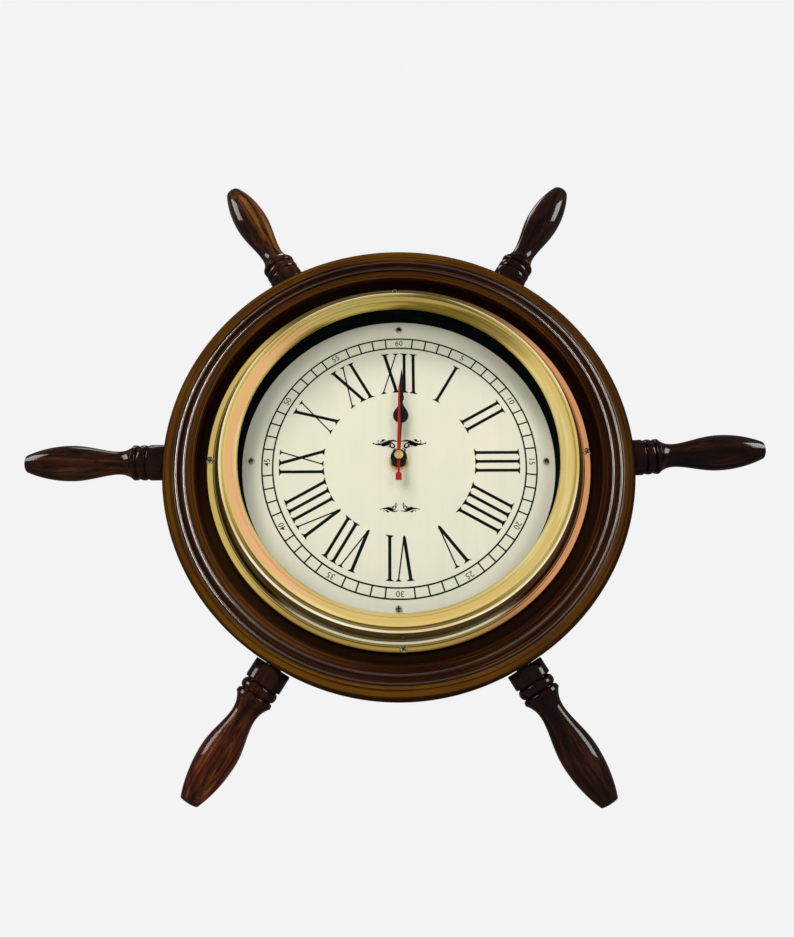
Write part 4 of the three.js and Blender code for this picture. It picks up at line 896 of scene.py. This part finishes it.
def make_case():
    profile = [(TUBE_INNER, TUBE_BACK), (TUBE_OUTER, TUBE_BACK), (TUBE_OUTER, FLANGE_BACK),
               (118.7, FLANGE_BACK), (118.9, 23.95), (118.9, 25.4)]
    profile += arc((115.65, 25.6), (3.2, 3.2), 5, 115, 16)
    profile += arc((113.0, 28.6), (0.9, 0.6), 40, -150, 8)[2:7]
    profile += [(112.1, FLANGE_FRONT), (TUBE_OUTER, FLANGE_FRONT), (TUBE_OUTER, TUBE_FRONT),
                (TUBE_INNER, TUBE_FRONT), (TUBE_INNER, LEDGE_FRONT), (LEDGE_BORE, LEDGE_FRONT),
                (LEDGE_BORE, LEDGE_BACK), (TUBE_INNER, LEDGE_BACK)]
    case = settle("case", spun(profile, RING_SEGMENTS), "brass_case", sharp=40)
    carved(case, screw_holes("flange_screw", 4, 2.35, FLANGE_FRONT - 1.0, 32.0))


def make_bezel():
    profile = [(104.8, BEZEL_BACK), (111.5, BEZEL_BACK), (111.9, 28.1), (108.6, 38.1)]
    profile += arc((107.5, 38.4), (1.05, 0.85), 10, 160, 10)
    profile += [(106.35, 38.45), (106.05, 38.25), (105.75, 38.45), (105.4, 38.85)]
    profile += arc((101.3, 38.7), (4.1, 1.9), 12, 165, 26)
    profile += [(97.35, 38.95), (BEZEL_BORE, 38.6), (BEZEL_BORE, 37.3), (102.5, 37.3), (102.5, 35.2),
                (104.8, 35.2)]
    turn("bezel", profile, "bezel_ring", 40)
    glass = [(0.0, GLASS_BACK), (GLASS_RADIUS, GLASS_BACK), (GLASS_RADIUS, GLASS_FRONT), (0.0, GLASS_FRONT)]
    turn("glass_disc", glass, "glass", 35)


def make_liner():
    foot = DIAL_FRONT + 0.1
    top = foot + LINER_LENGTH
    profile = [(97.6, foot), (LINER_OUTER, foot), (LINER_OUTER, foot + 1.4), (98.9, foot + 1.4),
               (98.9, top - 0.3), (98.6, top), (97.7, top), (97.5, top - 0.2), (97.5, foot + 0.4)]
    turn("liner", profile, "inner_liner", 30)


# Dial: enamelled plate, then its print in thin raised ink

DIAL_RADIUS = 102.6
DIAL_BORE = 4.3
INK = 0.04
PRINT_TURN = math.radians(0.3)
PRINT_CENTRE = (0.45, -0.35)
TRACK_OUTER = 85.8
TRACK_INNER = 79.1
TRACK_LINE = 1.0
TICK_LINE = 0.92
NUMERALS = ("XII", "I", "II", "III", "IIII", "V", "VI", "VII", "VIII", "IX", "X", "XI")
NUMERAL_OUTER = 75.3
NUMERAL_INNER = 47.4
THICK = 1.95
THIN = 0.88
SERIF = 0.55
BRACKET = 1.5
NUMBER_RADIUS = 82.5
NUMBER_SIZE = 5.2
NUMBER_SPREAD = 0.02


def on_dial(x, z):
    """A point of the print, turned and shifted as the sheet was set on the plate."""
    x, z = turned(x, z, PRINT_TURN)
    return x + PRINT_CENTRE[0], z + PRINT_CENTRE[1]


def ink(name, outlines, height=INK):
    shifted = [[on_dial(x, z) for x, z in outline] for outline in outlines]
    mesh = prisms(shifted, DIAL_FRONT, DIAL_FRONT + height)
    settle(name, mesh, "dial_plate", finish="print_black", stands_for=False)


def track_ring(radius):
    outer, inner = (arc((0, 0), (radius + side * TRACK_LINE / 2,) * 2, 0, 360, RING_SEGMENTS)
                    for side in (1, -1))
    outer[-1], inner[-1] = outer[0], inner[0]
    return [(outer[i], outer[i + 1], inner[i + 1], inner[i]) for i in range(RING_SEGMENTS)]


def tick(minute):
    angle = math.radians(90 - 6 * minute)
    along = Vector((math.cos(angle), math.sin(angle)))
    side = Vector((-along.y, along.x)) * TICK_LINE / 2
    foot, head = along * TRACK_INNER, along * TRACK_OUTER
    return [tuple(corner) for corner in (foot + side, foot - side, head - side, head + side)]


def stroke(foot, head, width, foot_serif, head_serif):
    """A straight stroke between two points with bracketed serifs at its ends; 0 leaves an end plain."""
    height = NUMERAL_OUTER - NUMERAL_INNER
    half = width / 2
    left, right = [], []
    for share, serif, up in ((0, foot_serif, 1), (1, head_serif, -1)):
        end = [(half * 0.4, 0), (half, up * BRACKET)]
        if serif:
            reach = serif / 2
            end = [(reach, 0), (reach, up * SERIF * 0.7), (half + 0.5, up * (SERIF + 0.25)),
                   (half, up * BRACKET)]
        if share:
            end = end[::-1]
        middle_x = foot + (head - foot) * share
        right += [(middle_x + offset, NUMERAL_INNER + height * share + rise) for offset, rise in end]
        left += [(middle_x - offset, NUMERAL_INNER + height * share + rise) for offset, rise in end]
    return right + left[::-1]


def letter(kind, x):
    """The strokes of one letter, its left edge at x, and how far the next letter starts."""
    if kind == "I":
        return [stroke(x + 2.6, x + 2.6, THICK, 5.0, 5.0)], 5.9
    if kind == "V":
        foot = x + 6.1
        return [stroke(foot, x + 2.5, THICK * 1.05, 0, 4.8), stroke(foot + 0.3, x + 9.7, THIN, 0, 3.6)], 12.3
    return [stroke(x + 9.9, x + 2.6, THICK * 1.08, 4.6, 4.9), stroke(x + 2.0, x + 9.6, THIN, 3.7, 3.7)], 12.6


def numeral_strokes(hour, word):
    """The strokes of a numeral, side by side, set round the dial with their feet to its centre."""
    strokes = []
    x = 0.0
    for kind in word:
        made, advance = letter(kind, x)
        strokes += made
        x += advance
    half = (x - 0.7) / 2
    turn = math.radians(-30 * hour)
    return [[turned(px - half, math.sqrt(r * r - (px - half) * (px - half)), turn) for px, r in outline]
            for outline in strokes]


def make_numerals():
    for hour, word in enumerate(NUMERALS):
        strokes = numeral_strokes(hour, word)
        ink(f"numeral_{hour or 12}", strokes[::2])
        if len(strokes) > 1:
            ink(f"numeral_{hour or 12}_more", strokes[1::2], INK * 1.2)


def make_minute_numbers():
    depsgraph = bpy.context.evaluated_depsgraph_get()
    for minute in range(5, 61, 5):
        curve = bpy.data.curves.new("number", "FONT")
        curve.body = str(minute)
        curve.size = NUMBER_SIZE * MM
        curve.align_x = "CENTER"
        curve.align_y = "CENTER"
        curve.extrude = INK * MM / 2
        curve.offset = NUMBER_SPREAD * MM
        shape = added("number", curve)
        depsgraph.update()
        data = bpy.data.meshes.new_from_object(shape.evaluated_get(depsgraph))
        bpy.data.objects.remove(shape)
        angle = math.radians(6 * minute)
        x, z = on_dial(NUMBER_RADIUS * math.sin(angle), NUMBER_RADIUS * math.cos(angle))
        place = Matrix.Translation((x * MM, -(DIAL_FRONT + INK / 2) * MM, z * MM))
        upright = Matrix.Rotation(math.pi / 2, 4, "X")
        data.transform(place @ Matrix.Rotation(angle - PRINT_TURN, 4, "Y") @ upright)
        dress(f"number_{minute}", data, "dial_plate", "print_grey", stands_for=False)


def ribbon(points, width):
    """A band along points that is widest in the middle and pointed at both ends."""
    left, right = [], []
    for i, point in enumerate(points):
        before = Vector(points[max(i - 1, 0)])
        after = Vector(points[min(i + 1, len(points) - 1)])
        along = (after - before).normalized()
        share = i / (len(points) - 1)
        half = width / 2 * (0.16 + 0.84 * math.sin(math.pi * share) ** 0.8)
        side = Vector((-along.y, along.x)) * half
        left.append(tuple(Vector(point) + side))
        right.append(tuple(Vector(point) - side))
    return [(left[i], left[i + 1], right[i + 1], right[i]) for i in range(len(points) - 1)]


SPIRAL_STEPS = 18
WAVE_STEPS = 16
KNOB_CORNERS = 14


def spiral(centre, start_radius, end_radius, start, end):
    def point(share):
        angle = math.radians(start + (end - start) * share)
        radius = start_radius + (end_radius - start_radius) * share
        return centre[0] + radius * math.cos(angle), centre[1] + radius * math.sin(angle)

    return traced(point, SPIRAL_STEPS)


def wave(start, end, rise):
    def point(share):
        x, z = (a + (b - a) * share for a, b in zip(start, end))
        return x, z + rise * math.sin(2 * math.pi * share)

    return traced(point, WAVE_STEPS)


def knob(centre, radius):
    turns = [2 * math.pi * i / KNOB_CORNERS for i in range(KNOB_CORNERS)]
    return [(centre[0] + radius * math.cos(a), centre[1] + radius * math.sin(a)) for a in turns]


FLOURISH_LINES = (
    (wave((0.6, 1.4), (16.6, 0.3), 1.0), 1.5),
    (wave((3.0, -0.6), (14.0, 0.9), 1.0), 1.4),
    (wave((5.0, 0.2), (11.5, -1.2), 0.5), 1.2),
    (wave((8.6, 2.4), (12.6, 1.6), 0.4), 1.0),
    (spiral((4.0, -1.3), 0.4, 2.0, 60, 430), 1.0),
    (spiral((6.6, -1.5), 0.3, 1.3, -30, -390), 0.9),
    (spiral((2.6, -4.6), 0.3, 1.5, 220, 500), 0.9),
)
FLOURISH_KNOBS = ((10.4, 2.3, 0.85), (16.4, 0.3, 0.55), (13.4, 1.9, 0.5))


def flourish(height, size, flip=1):
    """A symmetrical pair of scrolls, leaves and knobs, of the kind printed on old clock dials."""
    outlines = []
    for side in (-1, 1):

        def place(x, z):
            return side * x * size, height + flip * z * size

        for points, width in FLOURISH_LINES:
            outlines += ribbon([place(x, z) for x, z in points], width * size)
        outlines += [knob(place(x, z), radius * size) for x, z, radius in FLOURISH_KNOBS]
    return outlines


def make_dial():
    plate = [(DIAL_BORE, DIAL_BACK), (DIAL_RADIUS, DIAL_BACK), (DIAL_RADIUS, DIAL_FRONT - 0.15),
             (DIAL_RADIUS - 0.15, DIAL_FRONT), (DIAL_BORE + 0.05, DIAL_FRONT), (DIAL_BORE, DIAL_FRONT - 0.05)]
    turn("dial", plate, "dial_plate", 25)
    ink("minute_track", track_ring(TRACK_OUTER) + track_ring(TRACK_INNER))
    ink("minute_ticks", [tick(minute) for minute in range(60) if minute % 5], INK * 0.8)
    make_numerals()
    make_minute_numbers()
    ink("flourish", flourish(12.0, 1.0))
    ink("flourish_lower", flourish(-30.5, 0.72, flip=-1))


# Hands, and the nut, washer and cap at their centre

HOUR_ANGLE = math.radians(2.4)
MINUTE_ANGLE = math.radians(1.8)
SECOND_ANGLE = math.radians(0.3)
HOUR_BACK = DIAL_FRONT + 6.0
MINUTE_BACK = HOUR_BACK + 1.9
SECOND_BACK = depths("second_hand")[0]
HOUR_SHOULDER = 38.2
HOUR_SPADE = 28.6
DISC_BEVEL = 0.12


def creased(half, back, edge, ridge):
    """A hand folded along its middle: thin at the edges and raised along the centre line."""
    mesh = bmesh.new()
    for side in (-1, 1):
        border = [mesh.verts.new((side * x * MM, -edge * MM, z * MM)) for x, z in half]
        crest = [mesh.verts.new((0, -(ridge if x > 0.01 else edge) * MM, z * MM)) for x, z in half]
        under = [mesh.verts.new((side * x * MM, -back * MM, z * MM)) for x, z in half]
        spine = [mesh.verts.new((0, -back * MM, z * MM)) for x, z in half]
        for i in range(len(half) - 1):
            mesh.faces.new((crest[i], border[i], border[i + 1], crest[i + 1]))
            mesh.faces.new((border[i], under[i], under[i + 1], border[i + 1]))
            mesh.faces.new((under[i], spine[i], spine[i + 1], under[i + 1]))
        mesh.faces.new((crest[-1], border[-1], under[-1], spine[-1]))
    return welded(mesh)


def disc(radius, bore, back, front):
    return spun([(bore, back), (radius, back), (radius, front - DISC_BEVEL), (radius - DISC_BEVEL, front),
                 (bore, front)], SMALL_SEGMENTS)


def make_hand(name, node, half, back, edge, ridge, hub, angle, sharp=12):
    """A creased blade with a round hub, turned to the time that it shows."""
    blade = creased(half, back, back + edge, back + ridge)
    radius, bore, sunk, top = hub
    round_part = stored("part", disc(radius, bore, back - sunk, back + top))
    blade.from_mesh(round_part)
    bpy.data.meshes.remove(round_part)
    bmesh.ops.rotate(blade, verts=blade.verts, cent=(0, 0, 0), matrix=Matrix.Rotation(angle, 3, "Y"))
    settle(name, blade, node, sharp=sharp)


def make_hands():
    half = [(0, 44.7), (0.9, 43.2), (1.65, 41.0), (1.6, 39.6), (0.95, HOUR_SHOULDER)]
    for step in range(1, 11):
        share = 1 - step / 11
        half.append((0.9 + 3.95 * (0.5 + 0.5 * math.cos(math.pi * share)),
                     HOUR_SPADE + (HOUR_SHOULDER - HOUR_SPADE) * share))
    half += arc((0, HOUR_SPADE), (4.85, 5.3), 0, -78, 14)
    half += [(1.0, 23.2), (0.95, 4.4)]
    hub = (4.6, 2.45, 0.02, 0.62)
    make_hand("hour_blade", "hour_hand", half, HOUR_BACK, 0.45, 0.6, hub, HOUR_ANGLE)
    half = [(0, 60.9), (0.55, 56.5), (1.15, 50.5), (1.72, 44.6), (1.78, 43.6), (1.5, 41.2), (0.9, 38.6),
            (0.95, 30.0), (1.05, 5.0)]
    hub = (5.1, 1.7, 0.02, 0.62)
    make_hand("minute_blade", "minute_hand", half, MINUTE_BACK, 0.4, 0.6, hub, MINUTE_ANGLE)
    half = [(0, 47.0), (0.3, 46.9), (0.5, 46.5), (0.55, 46.0), (0.8, 28.0), (1.12, 2.0), (1.12, -2.0),
            (0.62, -9.8), (0.62, -10.4), (1.85, -11.7), (1.85, -15.8)]
    hub = (1.9, 0.9, 0.05, 0.4)
    make_hand("second_blade", "second_hand", half, SECOND_BACK, 0.22, 0.42, hub, SECOND_ANGLE, sharp=10)


def make_centre():
    front = SECOND_BACK + 0.5
    cap = [(0.65, front - 1.6), (1.3, front - 1.6), (1.3, front - 0.6), (1.0, front - 0.6), (1.0, front),
           (2.75, front), (2.75, front + 1.5)]
    cap += arc((2.25, front + 1.5), (0.5, 0.5), 0, 90, 5)
    cap += [(0.9, front + 2.04), (0.0, front + 2.05), (0.0, front + 1.2), (0.65, front + 1.2)]
    turn("cap", cap, "second_hand_cap", 30, SMALL_SEGMENTS)
    back = DIAL_FRONT + 0.1
    settle("washer", disc(6.0, 4.1, back, back + 0.5), "hand_washer", sharp=30)
    nut = [(4.1, back + 0.6), (5.3, back + 0.6), (5.5, back + 0.8), (5.5, back + 2.6), (5.0, back + 3.2),
           (4.4, back + 3.2), (4.1, back + 2.9)]
    turn("nut", nut, "hand_nut", 25, SMALL_SEGMENTS)


# Screws: domed heads with a cross recess, whose sizes are shares of the head's

HEAD_DOME = 0.35
RECESS_ARM = 0.74
RECESS_HALF = 0.27
RECESS_DEPTH = 0.88


def screw_mesh(radius, height, shank, length):
    """A screw whose head's top is at height 0 and whose shank goes down from it."""
    profile = [(0.0, 0.0)]
    for step in range(1, 9):
        angle = math.pi / 2 * step / 8
        profile.append((radius * math.sin(angle), -height * HEAD_DOME * (1 - math.cos(angle))))
    profile += [(radius, -height * 0.8), (radius - 0.1, -height), (shank, -height), (shank, -length + shank),
                (0.0, -length)]
    piece = cutter(spun(profile, SMALL_SEGMENTS))
    arm, half = radius * RECESS_ARM, radius * RECESS_HALF
    carved(piece, [cutter(prisms([[(-w, -h), (w, -h), (w, h), (-w, h)]], -height * RECESS_DEPTH, 1.0))
                   for w, h in ((arm, half), (half, arm))])
    data = piece.data
    bpy.data.objects.remove(piece)
    return data


def make_screws(prefix, count, radius, height, shank, facing, turn, finish=None):
    """A row of screws that face the front (1) or the back (-1), each turned further than the one before."""
    first = f"{prefix}_1"
    shape = screw_mesh(radius, height, shank, high(first).y - low(first).y)
    for index in range(count):
        node = f"{prefix}_{index + 1}"
        x, z = middle(node)
        back, front = depths(node)
        data = shape.copy()
        spin = Matrix.Rotation(math.radians(turn * (index + 1)), 4, "Y")
        flip = Matrix.Identity(4) if facing > 0 else Matrix.Rotation(math.pi, 4, "Z")
        head = front if facing > 0 else back
        data.transform(Matrix.Translation((x * MM, -head * MM, z * MM)) @ flip @ spin)
        dress(f"{node}_head", data, node, finish, sharp=30)


# Back of the clock

PANEL_RADIUS = 112.7
SLOT_HALF = 2.2


def make_back_panel():
    back, front = depths("back_panel")
    profile = [(0.0, back), (PANEL_RADIUS - 0.3, back), (PANEL_RADIUS, back + 0.3), (PANEL_RADIUS, front),
               (0.0, front)]
    board = settle("panel", spun(profile, RING_SEGMENTS), "back_panel", sharp=30)
    opening = cutter(prisms([box_round("movement_shell", 2, 1.5)], back - 1, front + 1))
    carved(board, [opening, *screw_holes("back_screw", 4, 3.0, back - 1, back + 1.5)])


def make_hanger():
    back, front = depths("keyhole_hanger")
    outline = box_round("keyhole_hanger", 0, HANGER_CORNER)
    plate = settle("hanger", prisms([outline], back, front), "keyhole_hanger", sharp=30)
    opening = math.degrees(math.asin(SLOT_HALF / KEYHOLE_RADIUS))
    keyhole = arc((0, KEYHOLE_HEIGHT), (KEYHOLE_RADIUS, KEYHOLE_RADIUS), 90 + opening, 450 - opening, 30)
    keyhole += arc((0, KEYHOLE_HEIGHT + KEYHOLE_SLOT - SLOT_HALF), (SLOT_HALF, SLOT_HALF), 0, 180, 12)
    hole = cutter(prisms([keyhole], back - 1, front + 1))
    carved(plate, [hole, *screw_holes("hanger_screw", 2, 2.9, back - 1, back + 0.7)])
    bevel = plate.modifiers.new("edge", "BEVEL")
    bevel.width = HANGER_BEVEL * MM
    bevel.segments = 2
    bevel.limit_method = "ANGLE"


def make_battery():
    lowest, highest = low("battery"), high("battery")
    radius = (highest.z - lowest.z) / 2
    start, end = lowest.x, highest.x
    profile = [(0.0, start), (radius - 0.9, start), (radius - 0.9, start + 0.25),
               (radius - 0.15, start + 0.1), (radius, start + 0.4), (radius, end - 1.6),
               (radius - 0.15, end - 1.3), (radius - 0.8, end - 1.25), (2.75, end - 1.3), (2.75, end - 0.2),
               (2.5, end), (0.0, end)]
    mesh = spun(profile, SMALL_SEGMENTS, along=1.0)
    bmesh.ops.rotate(mesh, verts=mesh.verts, cent=(0, 0, 0), matrix=Matrix.Rotation(-math.pi / 2, 3, "Z"))
    centre = (lowest + highest) / 2
    bmesh.ops.translate(mesh, verts=mesh.verts, vec=(0, centre.y * MM, centre.z * MM))
    settle("cell", mesh, "battery", sharp=30)


def finish_kept_nodes():
    """The nodes whose own solids show, or lie inside the movement, get their finishes."""
    for name, node in nodes.items():
        node.data.materials.clear()
        node.data.materials.append(FINISHES[SLOT_OF[name]])


# Studio: pale floor and world, soft lamps, and cards that only reflections see

PALE = 0.896
DAYLIGHT = 0.45
WARM_WHITE = (1.0, 0.98, 0.95)
CANDLE = (1.0, 0.94, 0.86)


def make_world():
    """Pale where it is seen, in glass and metal too, and an even soft light on everything else."""
    world = bpy.data.worlds.new("studio")
    bpy.context.scene.world = world
    world.use_nodes = True
    tree = world.node_tree
    tree.nodes.clear()

    def made(kind, *inputs):
        """A node whose first sockets are linked to other nodes' outputs or set."""
        node = tree.nodes.new(kind)
        for socket, value in zip(node.inputs, inputs):
            if isinstance(value, bpy.types.NodeSocket):
                tree.links.new(value, socket)
            else:
                socket.default_value = value
        return node

    shown = made("ShaderNodeBackground", (PALE, PALE, PALE, 1), 1.0)
    light = made("ShaderNodeBackground", (1.0, 0.99, 0.97, 1), DAYLIGHT)
    rays = made("ShaderNodeLightPath").outputs
    either = made("ShaderNodeMath", rays["Is Glossy Ray"], rays["Is Transmission Ray"])
    seen = made("ShaderNodeMath", rays["Is Camera Ray"], either.outputs[0])
    either.operation = seen.operation = "MAXIMUM"
    mix = made("ShaderNodeMixShader", seen.outputs[0], light.outputs[0], shown.outputs[0])
    made("ShaderNodeOutputWorld", mix.outputs[0])


def aimed(thing, place, target=(0, 0, 0)):
    thing.location = place
    thing.rotation_mode = "QUATERNION"
    thing.rotation_quaternion = (Vector(target) - Vector(place)).to_track_quat("-Z", "Y")


def lamp(name, place, width, height, power, colour):
    data = bpy.data.lights.new(name, "AREA")
    data.shape = "RECTANGLE"
    data.size, data.size_y = width, height
    data.energy = power
    data.color = colour
    light = added(name, data)
    aimed(light, place)
    return light


def only_on(light, pieces):
    """The lamp shines on these pieces alone, as a flagged studio lamp does."""
    group = bpy.data.collections.new(light.name + "_pieces")
    for piece in pieces:
        group.objects.link(bpy.data.objects[piece])
    light.light_linking.receiver_collection = group


def paint(name, tone, uneven, glow=0.0):
    """Matt paint, darker in places by the uneven share; a card's paint glows with its own tone."""
    finish = Finish(name, roughness=1.0, specular_ior_level=0.0, emission_strength=glow)
    cloud = finish.noise(finish.place(), 1.6, 2.0, 0.5)
    colour = finish.mix(cloud.between(0.3, 0.7), tone, tuple(c * (1 - uneven) for c in tone))
    finish.set(base_color=colour)
    if glow:
        finish.set(emission_color=colour)


def panel(name, finish, place, width, height, target=(0, 0, 0)):
    mesh = bmesh.new()
    corners = ((-1, -1), (1, -1), (1, 1), (-1, 1))
    mesh.faces.new([mesh.verts.new((x * width / 2, y * height / 2, 0)) for x, y in corners])
    data = stored(name, mesh)
    data.materials.append(FINISHES[finish])
    thing = added(name, data)
    aimed(thing, place, target)
    return thing


def make_studio():
    make_world()
    paint("floor_paint", (0.74, 0.74, 0.73), 0.03)
    paint("dusk_card", (0.10, 0.085, 0.06), 0.2, glow=1.0)
    paint("grey_card", (0.52, 0.51, 0.49), 0.2, glow=1.0)
    floor = panel("floor", "floor_paint", (0, 0, -0.62), 2.4, 2.4)
    floor.rotation_quaternion = (1, 0, 0, 0)
    for soft in (
        lamp("key", (-0.45, -0.95, 1.45), 0.8, 0.5, 24.0, WARM_WHITE),
        lamp("side_left", (-0.70, -1.70, 0.15), 0.40, 0.9, 7.4, WARM_WHITE),
        lamp("side_right", (0.70, -1.70, 0.15), 0.40, 0.9, 6.4, WARM_WHITE),
    ):
        soft.visible_glossy = False
    handles = [f"handle_piece_{i + 1}" for i in range(6)]
    for pieces, *flagged in (
        (handles, "glint_left", (-1.35, -0.40, 0.66), 0.60, 0.70, 62.0, (1.0, 0.99, 0.97)),
        (handles, "glint_right", (1.35, -0.48, 0.62), 0.60, 0.70, 74.0, (0.97, 1.0, 0.97)),
        (handles, "glint_above", (-0.40, 0.42, 1.35), 0.70, 0.35, 16.0, (0.97, 1.0, 1.0)),
        (["rim"], "line_left", (-1.35, -0.62, 0.30), 0.22, 2.4, 1100.0, CANDLE),
        (["rim"], "line_right", (1.25, -0.85, 0.75), 0.22, 1.7, 560.0, CANDLE),
    ):
        glint = lamp(*flagged)
        glint.visible_diffuse = False
        only_on(glint, pieces)
    for card in (
        panel("card_above", "dusk_card", (0.02, -1.7, 0.86), 0.42, 0.16),
        panel("card_high", "grey_card", (0, -0.9, 1.9), 2.2, 1.0),
        panel("card_below", "grey_card", (0, -0.7, -0.60), 2.6, 1.6, target=(0, -0.7, 0)),
    ):
        card.visible_camera = False
        card.visible_diffuse = False
        card.visible_transmission = False
        card.visible_shadow = False


bpy.context.scene.view_settings.view_transform = "Standard"
place_camera()
finish_kept_nodes()
make_rim()
make_handles()
make_case()
make_bezel()
make_liner()
make_dial()
make_hands()
make_centre()
make_screws("flange_screw", 4, 2.0, 1.5, 1.3, 1, 31, "flange_screw_metal")
make_screws("dial_screw", 4, 1.95, 1.1, 1.3, 1, 23, "dial_screw_metal")
make_screws("back_screw", 4, 2.5, 1.3, 1.2, -1, 37)
make_screws("hanger_screw", 2, 2.5, 0.6, 1.2, -1, 19)
make_back_panel()
make_hanger()
make_battery()
make_studio()
